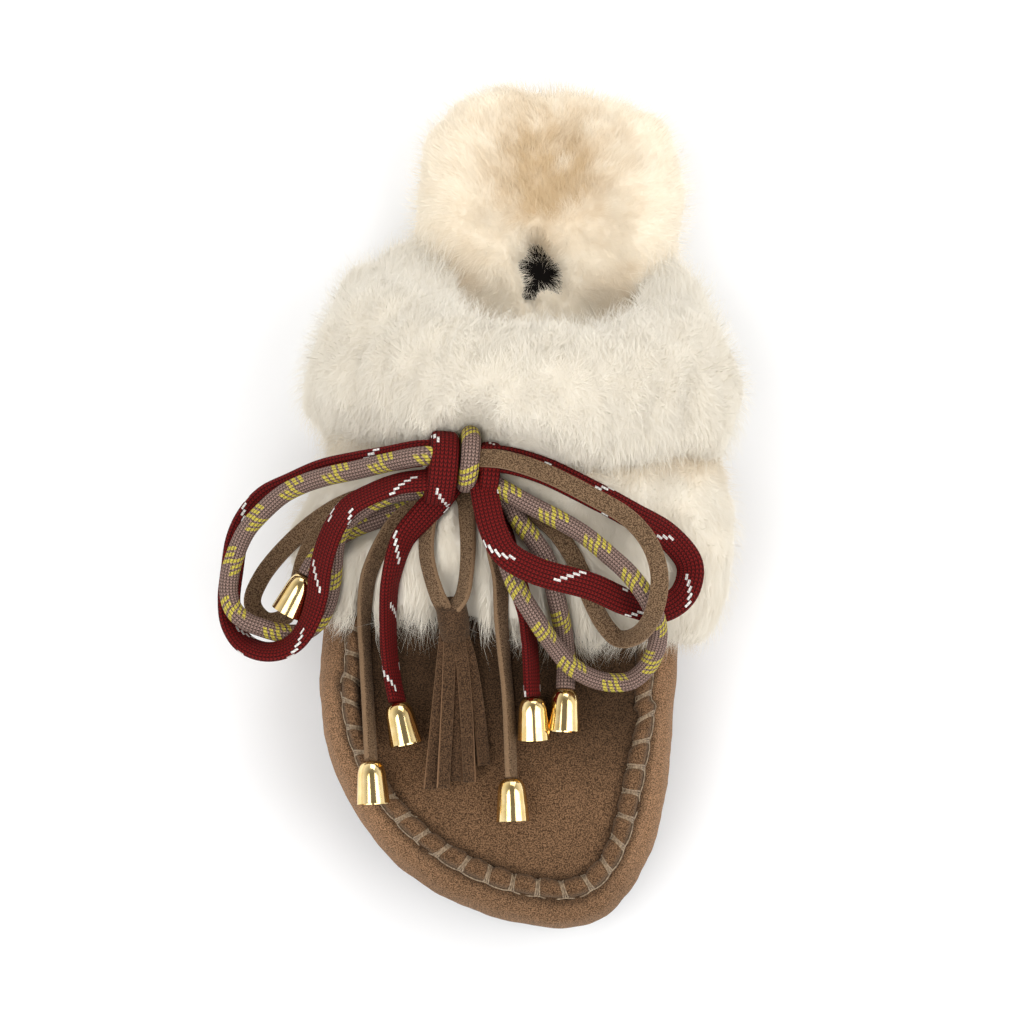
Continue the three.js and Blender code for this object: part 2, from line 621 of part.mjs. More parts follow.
// A flat or round strand swept along a route with its flat side up. grow swells it.
function strand(points, { width, thick, step }, grow = 0) {
  const curve = new THREE.CatmullRomCurve3(points.map((p) => new THREE.Vector3(...p)), false, "centripetal");
  const steps = Math.max(3, Math.round(curve.getLength() / step));
  const rows = [];
  for (let i = 0; i <= steps; i++) {
    const middle = curve.getPointAt(i / steps);
    const tangent = curve.getTangentAt(i / steps);
    const side = new THREE.Vector3().crossVectors(tangent, new THREE.Vector3(0, 0, 1)).normalize();
    const up = new THREE.Vector3().crossVectors(side, tangent);
    const row = [];
    for (let k = 0; k < LACE_SIDES; k++) {
      const angle = ((k + 0.5) / LACE_SIDES) * 2 * Math.PI;
      const p = middle.clone().addScaledVector(side, Math.cos(angle) * (width / 2 + grow));
      row.push(p.addScaledVector(up, Math.sin(angle) * (thick / 2 + grow)));
    }
    rows.push(row);
  }
  return solid(joinRows(rows.reverse(), { rowsClose: true, capEnds: true }));
}

// A bell that hangs on the end of a route, clear of the lace by the usual gap.
function bell(points) {
  const curve = new THREE.CatmullRomCurve3(points.map((p) => new THREE.Vector3(...p)), false, "centripetal");
  const tangent = curve.getTangentAt(1);
  const profile = BELL.map(({ along, radius }) => new THREE.Vector2(radius, along));
  const turned = new THREE.LatheGeometry(profile, 10);
  turned.applyQuaternion(new THREE.Quaternion().setFromUnitVectors(new THREE.Vector3(0, 1, 0), tangent));
  const start = curve.getPointAt(1).addScaledVector(tangent, CLEARANCE);
  return solid(turned.translate(start.x, start.y, start.z));
}

// One wrap of the knot: a flat oval seen from the side, with rounded ends. grow swells it.
function wrap({ from, to, back, front, low, high }, grow = 0) {
  const rows = [from - grow, to + grow].map((x) => {
    const row = [];
    for (let k = 0; k < 12; k++) {
      const angle = (k / 12) * 2 * Math.PI;
      const y = lerp(front - grow, back + grow, 0.5 + 0.5 * Math.cos(angle));
      const z = lerp(low - grow, high + grow, 0.5 + 0.5 * Math.sin(angle));
      row.push(new THREE.Vector3(x, y, z));
    }
    return row;
  });
  return solid(joinRows(rows, { rowsClose: true, capEnds: true }));
}

// The cut tassel: a rolled head with its strips fanned out below, as one solid. grow swells it.
function tassel(grow = 0) {
  const top = new THREE.Vector3(...TASSEL.top);
  const way = new THREE.Vector3(...TASSEL_MIDDLE[0]).sub(top).normalize();
  const head = new THREE.CylinderGeometry(TASSEL.radius + grow, TASSEL.radius + grow, TASSEL.head + 2 * grow, 12);
  head.applyQuaternion(new THREE.Quaternion().setFromUnitVectors(new THREE.Vector3(0, 1, 0), way));
  const middle = top.clone().addScaledVector(way, TASSEL.head / 2);
  const strips = [];
  for (let i = 0; i < TASSEL.strips; i++) {
    const side = i / (TASSEL.strips - 1) - 0.5;
    const route = TASSEL_MIDDLE.map(([x, y, z], k) => {
      const open = (k + 1) / TASSEL_MIDDLE.length;
      return [x + side * TASSEL.spread * open, y + 3 * (scatter(i, 2) - 0.5) * k, z + 1.2 * (i % 2) * open];
    });
    strips.push(strand(route, { width: TASSEL.width, thick: TASSEL.thick, step: 12 }, grow));
  }
  return wasm.Manifold.union([solid(head.translate(middle.x, middle.y, middle.z)), ...strips]);
}

// The largest body of a solid, without crumbs that a cut has parted from it.
function largest(made) {
  return made.decompose().reduce((best, body) => (body.volume() > best.volume() ? body : best));
}

// The pieces in turn

const sole = grooves().reduce((body, cutter) => body.subtract(cutter), solid(soleGeometry()));
const raisedSole = solid(soleGeometry(CLEARANCE));
const outerForm = lastForm({ drop: BURIED / 2, ridge: true });
const hollow = lastForm({ grow: -UPPER_WALL, drop: BURIED, back: 0.1 });
const upper = outerForm.subtract(hollow).subtract(raisedSole);

const skinGap = lastForm({ grow: CLEARANCE, drop: BURIED, back: 0.008, ridge: true });
const insideGap = lastForm({ grow: -UPPER_WALL - CLEARANCE, drop: 2 * BURIED, back: 0.1 });
const upperGap = skinGap.subtract(insideGap);
const footbedBody = (grow) => wasm.Manifold.union([solid(footbedGeometry(grow)), ...heelLocks(grow)]);
const patchPlace = { x: PATCH.x, y: PATCH.y, z: soleTop(PATCH.y) + CLEARANCE + PATCH.seat };
const patchPocket = new THREE.BoxGeometry(PATCH.width + 0.6, PATCH.length + 0.6, 40);
patchPocket.translate(patchPlace.x, patchPlace.y, patchPlace.z + 20);
const footbed = footbedBody(0).subtract(upperGap).subtract(raisedSole).subtract(solid(patchPocket));
const patch = new THREE.BoxGeometry(PATCH.width, PATCH.length, PATCH.thick);
patch.translate(patchPlace.x, patchPlace.y, patchPlace.z + CLEARANCE + PATCH.thick / 2);

const overUpper = lastForm({ grow: CLEARANCE, drop: BURIED, back: 0.4, ridge: true });
const cuffBody = woolBand(CUFF);
const cuffGap = woolBand(CUFF, 4 * CLEARANCE);
const cuff = cuffBody.subtract(overUpper).subtract(raisedSole).subtract(footbedBody(2 * CLEARANCE));
const tongue = woolBand(TONGUE).subtract(overUpper).subtract(cuffGap).subtract(cuff).subtract(raisedSole);

const laceOf = (name) => LACES[name.split("_")[0]];
const strands = Object.entries(ROUTES).map(([name, points]) => ({ name, body: strand(points, laceOf(name)) }));
const bells = Object.entries(ROUTES).filter(([name]) => name.includes("_end_"));
const bowGap = wasm.Manifold.union([
  ...Object.entries(ROUTES).map(([name, points]) => strand(points, laceOf(name), WOOL_GAP)),
  ...WRAPS.map((each) => wrap(each, WOOL_GAP)),
  tassel(WOOL_GAP),
]);

const clog = new THREE.Group();
clog.add(piece("outsole", sole, COLOURS.rubber));
clog.add(piece("footbed", footbed, COLOURS.lining));
clog.add(piece("heel_patch", patch, COLOURS.patch));
clog.add(piece("upper", upper, COLOURS.suede));
clog.add(piece("cuff", largest(cuff.subtract(bowGap)), COLOURS.wool));
clog.add(piece("tongue", largest(tongue.subtract(bowGap)), COLOURS.wool));
for (const each of WRAPS) clog.add(piece(each.name, wrap(each), COLOURS[each.lace]));
for (const { name, body } of strands) clog.add(piece(name, body, COLOURS[name.split("_")[0]]));
for (const [name, points] of bells) {
  clog.add(piece(name.replace("_end_", "_bell_"), bell(points), COLOURS.gold, 0.25, 1));
}
clog.add(piece("tassel", tassel(), COLOURS.thong));

export default clog;
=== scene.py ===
"""Sheepskin clog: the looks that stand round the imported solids.

Sizes in the classes are millimetres in the shoe's own frame: the toe points along -Y, the inner side of
the foot is +X and the floor is z = 0. Meshes are written in metres.
"""
import logging
import math
from abc import ABC, abstractmethod
from dataclasses import dataclass, field
from enum import Enum
from typing import Optional, Sequence, Union

import bmesh
import bpy
import numpy as np
from mathutils import Matrix, Vector


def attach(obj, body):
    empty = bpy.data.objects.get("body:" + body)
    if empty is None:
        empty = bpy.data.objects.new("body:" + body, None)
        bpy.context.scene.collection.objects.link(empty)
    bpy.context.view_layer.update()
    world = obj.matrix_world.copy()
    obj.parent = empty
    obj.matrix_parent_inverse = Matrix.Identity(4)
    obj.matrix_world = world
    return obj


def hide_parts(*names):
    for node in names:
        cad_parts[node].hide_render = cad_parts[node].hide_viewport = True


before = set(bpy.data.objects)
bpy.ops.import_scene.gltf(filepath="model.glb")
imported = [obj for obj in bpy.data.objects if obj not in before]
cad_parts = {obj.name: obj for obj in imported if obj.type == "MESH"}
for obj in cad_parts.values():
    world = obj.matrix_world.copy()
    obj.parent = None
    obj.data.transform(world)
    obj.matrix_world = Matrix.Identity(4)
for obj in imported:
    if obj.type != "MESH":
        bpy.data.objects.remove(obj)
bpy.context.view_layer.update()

BODY = "root"
MM = 0.001
UP = np.array([0.0, 0.0, 1.0])
CURVE_STEPS = 40
FEWEST_STEPS = 4
NEARLY_UPRIGHT = 0.05
LOG = logging.getLogger("clog")

Array = np.ndarray
Number = Union[float, Array]
Colour = tuple[float, float, float]
Spot = tuple[float, float]
Point = tuple[float, float, float]
Material = bpy.types.Material
Piece = bpy.types.Object
Socket = bpy.types.NodeSocket
Value = Union[float, Socket]
Paint = Union[Colour, Socket]


# Small helpers

def lerp(a: Number, b: Number, t: Number) -> Number:
    """The value a share t of the way from a to b."""
    return a + (b - a) * t


def unit(vectors: Array) -> Array:
    """Vectors scaled to length one along their last axis."""
    return vectors / np.maximum(np.linalg.norm(vectors, axis=-1, keepdims=True), 1e-9)


def smoothstep(x: Number, low: float, high: float) -> Number:
    """A soft step from 0 at low to 1 at high."""
    t = np.clip((np.asarray(x) - low) / (high - low), 0.0, 1.0)
    return t * t * (3.0 - 2.0 * t)


def grid_normals(points: Array) -> Array:
    """Unit vectors out of a grid, along (from row to row) x (from column to column)."""
    return unit(np.cross(np.gradient(points, axis=0), np.gradient(points, axis=1)))


def distances(path: Array) -> Array:
    """How far along a line each of its points lies."""
    return np.concatenate([[0.0], np.cumsum(np.linalg.norm(np.diff(path, axis=0), axis=1))])


def interpolate(places: Array, known: Array, points: Array) -> Array:
    """Points at new places on a line whose own points lie at the known places."""
    return np.stack([np.interp(places, known, column) for column in points.T], axis=1)


def resample(line: Array, count: int) -> Array:
    """A line of points as another number of points."""
    return interpolate(np.linspace(0, 1, count), np.linspace(0, 1, len(line)), line)


def softened(values: Array, rounds: int) -> Array:
    """Rows evened out with their neighbours some rounds over. The first and last rows stay."""
    made = values.copy()
    for _ in range(rounds):
        made[1:-1] = 0.25 * made[:-2] + 0.5 * made[1:-1] + 0.25 * made[2:]
    return made


def quarter_oval(angle: float, fullness: float) -> tuple[float, float]:
    """A point of a rounded quarter outline. Fullness 2 is round, and more is squarer."""
    power = 2.0 / fullness
    return max(math.cos(angle), 0.0) ** power, max(math.sin(angle), 0.0) ** power


def oval(angle: Array, fullness: float) -> tuple[Array, Array]:
    """Points of a rounded outline. Fullness 2 is round, and more is squarer."""
    power = 2.0 / fullness
    x, y = np.cos(angle), np.sin(angle)
    return np.sign(x) * np.abs(x) ** power, np.sign(y) * np.abs(y) ** power


def full_turn(count: int) -> Array:
    """Angles of evenly spaced points round a ring."""
    return np.linspace(0.0, 2.0 * np.pi, count, endpoint=False)


def ring_about(way: Array, angle: Array) -> Array:
    """Directions square to a way, one for each angle."""
    side = unit(np.cross(way, UP))
    return np.cos(angle)[:, None] * side + np.sin(angle)[:, None] * np.cross(side, way)


@dataclass(frozen=True)
class Ripple:
    """A smooth, repeatable unevenness over space, made of waves in scattered directions."""

    size: float
    seed: int
    waves: int = 9

    def __call__(self, points: Array) -> Array:
        """The unevenness at each point, mostly between -1 and 1."""
        rng = np.random.default_rng(self.seed)
        ways = unit(rng.normal(size=(self.waves, 3)))
        pitch = 2.0 * np.pi / self.size * rng.uniform(0.6, 1.6, (self.waves, 1))
        phase = rng.uniform(0.0, 2.0 * np.pi, self.waves)
        return np.sin(points @ (ways * pitch).T + phase).sum(axis=-1) / math.sqrt(self.waves)


@dataclass(frozen=True)
class Profile:
    """A smooth function of y through the rows of a table that runs from heel to toe."""

    ys: tuple[float, ...]
    values: tuple[float, ...]

    def __call__(self, y: Number) -> Array:
        """The value at y, which never passes the values on either side."""
        ys = np.array(self.ys)
        values = np.array(self.values, dtype=float)
        rate = np.diff(values) / np.diff(ys)
        before = np.concatenate([rate[:1], rate])
        after = np.concatenate([rate, rate[-1:]])
        same = before * after > 0
        slope = np.where(same, 2 * before * after / np.where(same, before + after, 1.0), 0.0)
        place = np.asarray(y, dtype=float)
        i = np.clip(np.searchsorted(-ys, -place, side="right") - 1, 0, len(ys) - 2)
        span = ys[i + 1] - ys[i]
        t = np.clip((place - ys[i]) / span, 0.0, 1.0)
        ends = lerp(values[i], values[i + 1], 3 * t**2 - 2 * t**3)
        return ends + span * (slope[i] * (t**3 - 2 * t**2 + t) + slope[i + 1] * (t**3 - t**2))


def through(points: Sequence[Sequence[float]], step: float) -> Array:
    """A smooth curve through points, as evenly spaced places on it.

    Args:
        points: The points that the curve passes.
        step: Distance between places, about.

    Returns:
        Places on the curve, both ends among them.
    """
    p = np.array(points, dtype=float)
    p = np.vstack([2 * p[0] - p[1], p, 2 * p[-1] - p[-2]])
    gap = np.sqrt(np.maximum(np.linalg.norm(np.diff(p, axis=0), axis=1), 1e-6))
    t = np.linspace(0.0, 1.0, CURVE_STEPS, endpoint=False)[:, None]
    runs = []
    for i in range(1, len(p) - 2):
        before, here, after = gap[i - 1], gap[i], gap[i + 1]
        a, b, c, d = p[i - 1], p[i], p[i + 1], p[i + 2]
        leave = ((b - a) / before - (c - a) / (before + here) + (c - b) / here) * here
        reach = ((c - b) / here - (d - b) / (here + after) + (d - c) / after) * here
        square = 3 * (c - b) - 2 * leave - reach
        cube = 2 * (b - c) + leave + reach
        runs.append(b + leave * t + square * t**2 + cube * t**3)
    dense = np.vstack(runs + [p[-2][None]])
    far = distances(dense)
    places = np.linspace(0.0, far[-1], max(FEWEST_STEPS, int(round(far[-1] / step))) + 1)
    return interpolate(places, far, dense)


def strand_ways(path: Array, turn: Number = 0.0) -> tuple[Array, Array]:
    """The directions of a strand that lies flat side up.

    Args:
        path: Points of its middle line.
        turn: How far it is rolled about that line, in degrees.

    Returns:
        Directions to its side, and up off its flat face, at each point.
    """
    forward = unit(np.gradient(path, axis=0))
    side = np.cross(forward, UP)
    upright = np.linalg.norm(side, axis=1) < NEARLY_UPRIGHT
    side[upright] = np.array([1.0, 0.0, 0.0])
    side = unit(side)
    up = np.cross(side, forward)
    angle = np.radians(np.broadcast_to(turn, len(path)))[:, None]
    return side * np.cos(angle) + up * np.sin(angle), up * np.cos(angle) - side * np.sin(angle)


class MeshMaker:
    """Gathers grids, swept strands and hairs in millimetres, and makes one mesh of them."""

    def __init__(self) -> None:
        """Start with nothing."""
        self._points: list[Array] = []
        self._looks: list[Array] = []
        self._corners: list[Array] = []
        self._sizes: list[Array] = []
        self._finishes: list[Array] = []
        self._normals: list[Array] = []
        self._count = 0

    def add(
        self, points: Array, faces: Sequence[Array], look: Optional[Array] = None, finish: int = 0,
        normals: Optional[Array] = None,
    ) -> None:
        """Add points with the faces between them.

        Args:
            points: Coordinates, one row each.
            faces: Arrays of corner indices, one array for each number of corners.
            look: Three numbers for each point that the finish reads.
            finish: Which of the mesh's finishes the faces take.
            normals: Directions by which the points are shaded, where they aren't the faces' own.
        """
        points = np.asarray(points, dtype=float).reshape(-1, 3)
        blank = np.zeros_like(points)
        self._points.append(points)
        self._looks.append(blank if look is None else np.asarray(look).reshape(-1, 3))
        self._normals.append(blank if normals is None else np.asarray(normals).reshape(-1, 3))
        for each in faces:
            self._corners.append((each + self._count).ravel())
            self._sizes.append(np.full(len(each), each.shape[1]))
            self._finishes.append(np.full(len(each), finish))
        self._count += len(points)

    def grid(
        self, points: Array, look: Optional[Array] = None, wrap: bool = False, flip: bool = False,
        caps: bool = False, finish: int = 0,
    ) -> None:
        """Add a grid of points as quads.

        Args:
            points: Rows by columns by three coordinates.
            look: The same shape, for the finish.
            wrap: Whether the last column joins the first.
            flip: Whether the faces turn the other way.
            caps: Whether the first and last rows are closed.
            finish: Which of the mesh's finishes the faces take.
        """
        rows, columns = points.shape[:2]
        across = columns if wrap else columns - 1
        row, column = np.meshgrid(np.arange(rows - 1), np.arange(across), indexing="ij")
        a = (row * columns + column).ravel()
        b = (row * columns + (column + 1) % columns).ravel()
        quads = np.stack([a, a + columns, b + columns, b], axis=1)
        faces = [quads[:, ::-1] if flip else quads]
        if caps:
            ends = np.stack([np.arange(columns), np.arange(columns)[::-1] + (rows - 1) * columns])
            faces.append(ends[:, ::-1] if flip else ends)
        self.add(points, faces, look, finish)

    def sweep(
        self, path: Array, outline: Array, turn: Number = 0.0, look: Optional[Array] = None
    ) -> None:
        """Add a closed outline, swept along a path.

        Args:
            path: The middle line.
            outline: The section's points, to the side and up.
            turn: How far it is rolled, in degrees.
            look: Three numbers for each point that the finish reads.
        """
        side, up = strand_ways(path, turn)
        wide = outline[None, :, :1] * side[:, None]
        tall = outline[None, :, 1:] * up[:, None]
        self.grid(path[:, None] + wide + tall, look, wrap=True, flip=True, caps=True)

    def tube(self, path: Array, radius: float, sides: int) -> None:
        """Add a round tube along a path."""
        angle = full_turn(sides)
        self.sweep(path, np.stack([np.cos(angle), np.sin(angle)], axis=1) * radius)

    def build(self, name: str, finishes: Sequence[Material], weld: float = 0.0) -> Piece:
        """Make the object.

        Args:
            name: The piece's name.
            finishes: Materials, in the order that faces name them.
            weld: Points closer than this, in millimetres, are joined.

        Returns:
            The new object, in the scene.
        """
        points = np.vstack(self._points) * MM
        sizes = np.concatenate(self._sizes)
        mesh = bpy.data.meshes.new(name)
        mesh.vertices.add(len(points))
        mesh.vertices.foreach_set("co", points.astype(np.float32).ravel())
        corners = np.concatenate(self._corners)
        mesh.loops.add(len(corners))
        mesh.loops.foreach_set("vertex_index", corners.astype(np.int32))
        mesh.polygons.add(len(sizes))
        starts = np.concatenate([[0], np.cumsum(sizes)[:-1]])
        mesh.polygons.foreach_set("loop_start", starts.astype(np.int32))
        mesh.polygons.foreach_set("material_index", np.concatenate(self._finishes).astype(np.int32))
        mesh.polygons.foreach_set("use_smooth", np.ones(len(sizes), dtype=bool))
        look = mesh.attributes.new("look", "FLOAT_VECTOR", "POINT")
        look.data.foreach_set("vector", np.vstack(self._looks).astype(np.float32).ravel())
        for material in finishes:
            mesh.materials.append(material)
        mesh.update(calc_edges=True)
        if weld:
            soft = bmesh.new()
            soft.from_mesh(mesh)
            bmesh.ops.remove_doubles(soft, verts=soft.verts, dist=weld * MM)
            bmesh.ops.recalc_face_normals(soft, faces=soft.faces)
            soft.to_mesh(mesh)
            soft.free()
        mesh.validate()
        normals = np.vstack(self._normals)
        if normals.any() and not weld:
            mesh.normals_split_custom_set_from_vertices(normals.tolist())
        made = bpy.data.objects.new(name, mesh)
        bpy.context.scene.collection.objects.link(made)
        return made


def looks(points: Array, first: Number, second: Number = 0.0, third: Number = 0.0) -> Array:
    """The three numbers that each point carries for its finish."""
    made = np.zeros_like(points)
    for k, values in enumerate((first, second, third)):
        made[..., k] = values
    return made


def declare(made: Piece, node: Optional[str] = None) -> Piece:
    """Say what a finished piece is.

    Args:
        made: The piece.
        node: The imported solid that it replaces, if it does.

    Returns:
        The piece.
    """
    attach(made, BODY)
    if node is not None:
        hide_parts(node)
    LOG.info("%s, %d faces", made.name, len(made.data.polygons))
    return made


# Finishes

def toned(colour: Colour, factor: float) -> Colour:
    """A colour made darker or paler by a factor."""
    return tuple(factor * c for c in colour)


class Graph:
    """The nodes of one material, which end in its Principled shader."""

    def __init__(self, name: str, sockets: dict[str, object]) -> None:
        """Start a material.

        Args:
            name: The material's name.
            sockets: Values that are the same all over the surface, by the shader's socket.
        """
        self.material = bpy.data.materials.new(name)
        self.material.use_nodes = True
        self.tree = self.material.node_tree
        self.shader = self.tree.nodes["Principled BSDF"]
        for socket, value in sockets.items():
            self.shader.inputs[socket].default_value = value

    def node(self, kind: str, inputs: dict[Union[int, str], object], **settings: object) -> bpy.types.Node:
        """Add a node.

        Args:
            kind: The node's type.
            inputs: What each input holds: a value, or a socket to link.
            **settings: Properties of the node.

        Returns:
            The node.
        """
        made = self.tree.nodes.new(kind)
        for name, value in settings.items():
            setattr(made, name, value)
        for socket, value in inputs.items():
            if isinstance(value, Socket):
                self.tree.links.new(value, made.inputs[socket])
            else:
                made.inputs[socket].default_value = value
        return made

    def math(self, operation: str, a: Value, b: Value = 0.0) -> Socket:
        """One step of arithmetic."""
        return self.node("ShaderNodeMath", {0: a, 1: b}, operation=operation).outputs[0]

    def look(self) -> tuple[Socket, Socket, Socket]:
        """The three numbers that a mesh carries for its finish."""
        carried = self.node("ShaderNodeAttribute", {}, attribute_name="look")
        parts = self.node("ShaderNodeSeparateXYZ", {0: carried.outputs["Vector"]})
        return parts.outputs[0], parts.outputs[1], parts.outputs[2]

    def noise(self, size: float, detail: float, stretch: Point = (1.0, 1.0, 1.0)) -> Socket:
        """Noise in the shoe's own coordinates.

        Args:
            size: Size of its features in millimetres.
            detail: How many finer layers it has.
            stretch: Factors on the three coordinates.

        Returns:
            A socket with values from about 0.2 to 0.8.
        """
        place = self.node("ShaderNodeTexCoord", {}).outputs["Object"]
        place = self.node("ShaderNodeVectorMath", {0: place, 1: stretch}, operation="MULTIPLY").outputs[0]
        inputs = {"Vector": place, "Scale": 1.0 / (size * MM), "Detail": detail}
        return self.node("ShaderNodeTexNoise", inputs).outputs[0]

    def between(self, factor: Value, low: float, high: float) -> Socket:
        """A factor from 0 at low to 1 at high, with soft ends."""
        inputs = {0: factor, 1: low, 2: high}
        return self.node("ShaderNodeMapRange", inputs, interpolation_type="SMOOTHSTEP").outputs[0]

    def cloud(self, size: float, detail: float) -> Socket:
        """Soft patches, from 0 to 1, of a size in millimetres."""
        return self.between(self.noise(size, detail), 0.3, 0.7)

    def times(self, a: Value, b: Value) -> Socket:
        """The product of two values."""
        return self.math("MULTIPLY", a, b)

    def over(self, a: Value, b: Value) -> Socket:
        """The first value divided by the second."""
        return self.math("DIVIDE", a, b)

    def less(self, a: Value, b: Value) -> Socket:
        """The first value less the second."""
        return self.math("SUBTRACT", a, b)

    def part(self, a: Value) -> Socket:
        """What a value has past the whole number below it."""
        return self.math("FRACT", a)

    def mix(self, factor: Value, a: Paint, b: Paint) -> Socket:
        """A mix of two colours."""
        first, second = (each if isinstance(each, Socket) else (*each, 1.0) for each in (a, b))
        inputs = {0: factor, 6: first, 7: second}
        return self.node("ShaderNodeMix", inputs, data_type="RGBA").outputs[2]

    def finish(self, colour: Socket, height: Optional[Socket] = None, depth: float = 0.0) -> Material:
        """Link the colour and the relief to the shader.

        Args:
            colour: The colour socket.
            height: Relief from 0 to 1.
            depth: What a relief of 1 is, in millimetres.

        Returns:
            The material.
        """
        self.tree.links.new(colour, self.shader.inputs["Base Color"])
        if height is not None:
            relief = self.node("ShaderNodeBump", {"Height": height, "Strength": 1.0, "Distance": depth * MM})
            self.tree.links.new(relief.outputs[0], self.shader.inputs["Normal"])
        return self.material


@dataclass(frozen=True)
class Suede:
    """Brushed suede: a speckled nap, cloudy brushing and a soft sheen.

    The mesh's first number is painted light and shade: it mixes a place towards the same tones made paler by
    the pale factor, as if lit with sheen, and leaves the darker tones as painted shade where it is low. Its
    third number marks cut edges, which are paler.
    """

    name: str
    dark: Colour
    light: Colour
    # pale: how much paler the painted light makes the tones; it also pales the cut edges.
    pale: float = 1.0
    edge: float = 1.2
    nap: float = 0.36
    speckle: tuple[float, float] = (0.38, 0.63)
    depth: float = 0.3
    cloud: float = 15.0
    clouded: float = 0.3
    cut: float = 0.7

    def make(self) -> Material:
        """The material."""
        sockets = {
            "Roughness": 0.95, "Specular IOR Level": 0.1, "Sheen Weight": 0.2, "Sheen Roughness": 0.5,
            "Sheen Tint": (0.75, 0.58, 0.42, 1.0),
        }
        graph = Graph(self.name, sockets)
        painted_lighting, _, cut = graph.look()
        grain = graph.noise(self.nap, 3.0)
        speckle = graph.between(grain, *self.speckle)
        colour = graph.mix(speckle, self.dark, self.light)
        cloud = graph.times(graph.cloud(self.cloud, 3.0), self.clouded)
        colour = graph.mix(cloud, colour, toned(self.dark, 0.8))
        # Painted light: the paler tones that places marked by the mesh are mixed towards.
        paler = graph.mix(speckle, toned(self.dark, self.pale), toned(self.light, self.pale))
        colour = graph.mix(painted_lighting, colour, paler)
        edge = toned(self.light, self.edge * self.pale)
        colour = graph.mix(graph.times(cut, self.cut), colour, edge)
        return graph.finish(colour, grain, self.depth)


@dataclass(frozen=True)
class Wool:
    """Sheepskin wool. The mesh carries how tan it is, how far up the hair a point is, and chance."""

    name: str
    cream: Colour
    tan: Colour
    # shade: how strongly the roots are darkened, as painted shade.
    shade: float = 0.05
    cloud: float = 9.0
    clouded: float = 0.14
    mixed: float = 0.05

    def make(self) -> Material:
        """The material."""
        sockets = {
            "Roughness": 0.9, "Specular IOR Level": 0.1, "Sheen Weight": 0.15, "Sheen Roughness": 0.5,
        }
        graph = Graph(self.name, sockets)
        tone, up, chance = graph.look()
        cloud = graph.less(graph.cloud(self.cloud, 3.0), 0.5)
        tone = graph.math("ADD", tone, graph.times(cloud, self.clouded))
        colour = graph.mix(graph.between(tone, 0.0, 1.0), self.cream, self.tan)
        # Painted shade: the hair is darkened towards its roots, where the hairs shade each other.
        root = graph.times(graph.less(1.0, up), self.shade)
        colour = graph.mix(root, colour, toned(self.tan, 0.8))
        colour = graph.mix(graph.times(chance, self.mixed), colour, self.tan)
        return graph.finish(colour)


class Fleck(Enum):
    """How the contrasting yarn shows on a woven lace."""

    DASHES = "dashes"
    GROUPS = "groups"


@dataclass(frozen=True)
class Braid:
    """Woven lace. The mesh carries the place along it and round it, in millimetres."""

    name: str
    yarn: Colour
    fleck: Colour
    pattern: Fleck
    pitch: float
    column: float = 1.15
    stitch: float = 1.05
    slant: float = 1.3
    depth: float = 0.2
    # hollow and crown scale the yarn for painted shade in the weave's hollows and a painted highlight on its
    # crowns; shade adds more painted shade there.
    hollow: float = 0.25
    crown: float = 1.5
    shade: float = 0.45

    def make(self) -> Material:
        """The material."""
        graph = Graph(self.name, {"Roughness": 0.75, "Specular IOR Level": 0.12})
        along, across, _ = graph.look()
        column = graph.part(graph.over(across, self.column))
        off_middle = graph.math("ABSOLUTE", graph.less(column, 0.5))
        slanted = graph.times(off_middle, self.slant)
        stitch = graph.part(graph.math("ADD", graph.over(along, self.stitch), slanted))
        off_crown = graph.math("ABSOLUTE", graph.less(graph.times(stitch, 2.0), 1.0))
        ridge = graph.math("POWER", graph.less(1.0, off_crown), 0.6)
        height = graph.times(ridge, graph.between(off_middle, 0.5, 0.3))
        # Painted shade and highlight: the hollows are painted darker and the crowns paler.
        colour = graph.mix(height, toned(self.yarn, self.hollow), toned(self.yarn, self.crown))
        turn = graph.math("FLOOR", graph.over(along, self.pitch))
        place = graph.less(along, graph.times(turn, self.pitch))
        if self.pattern is Fleck.DASHES:
            flecks = self._dashes(graph, turn, place, across)
        else:
            flecks = self._groups(graph, place, across)
        colour = graph.mix(flecks, colour, self.fleck)
        # Painted shade: the weave's hollows are darkened further towards black.
        shade = graph.times(graph.less(1.0, height), self.shade)
        colour = graph.mix(shade, colour, (0.0, 0.0, 0.0))
        return graph.finish(colour, height, self.depth)

    def _dashes(self, graph: Graph, turn: Socket, place: Socket, across: Socket) -> Socket:
        """A slanting row of short dashes in each repeat, which starts in another lane each time.

        Args:
            graph: The material's nodes.
            turn: Which repeat a point is in.
            place: How far into the repeat it is.
            across: How far round the lace it is.

        Returns:
            Where the contrasting yarn shows, from 0 to 1.
        """
        lanes = 9.0
        advance = 1.7
        long = 2.1
        wide = 0.72
        dashes = 4.5
        scatter = 0.618
        start = graph.math("FLOOR", graph.times(graph.part(graph.times(turn, scatter)), lanes - 1.0))
        lane = graph.math("ADD", across, start)
        step = graph.math("FLOOR", graph.math("FLOORED_MODULO", lane, lanes))
        into = graph.less(place, graph.times(step, advance))
        band = graph.times(graph.math("GREATER_THAN", into, 0.0), graph.math("LESS_THAN", into, long))
        dash = graph.times(band, graph.math("LESS_THAN", graph.part(lane), wide))
        return graph.times(dash, graph.math("LESS_THAN", step, dashes))

    def _groups(self, graph: Graph, place: Socket, across: Socket) -> Socket:
        """A group of slanting stripes in each repeat, cut up by the columns of the weave.

        Args:
            graph: The material's nodes.
            place: How far into the repeat a point is.
            across: How far round the lace it is.

        Returns:
            Where the contrasting yarn shows, from 0 to 1.
        """
        half_round = 8.65
        shear = 4.3
        apart = 2.0
        thick = 0.6
        wide = 0.8
        first = 4.0
        last = 9.6
        sheared = graph.times(graph.part(graph.over(across, half_round)), shear)
        sheared = graph.math("ADD", place, sheared)
        band = graph.math("LESS_THAN", graph.part(graph.over(sheared, apart)), thick)
        dash = graph.math("LESS_THAN", graph.part(graph.over(across, self.column)), wide)
        begun = graph.math("GREATER_THAN", sheared, first)
        run = graph.times(begun, graph.math("LESS_THAN", sheared, last))
        return graph.times(graph.times(band, dash), run)


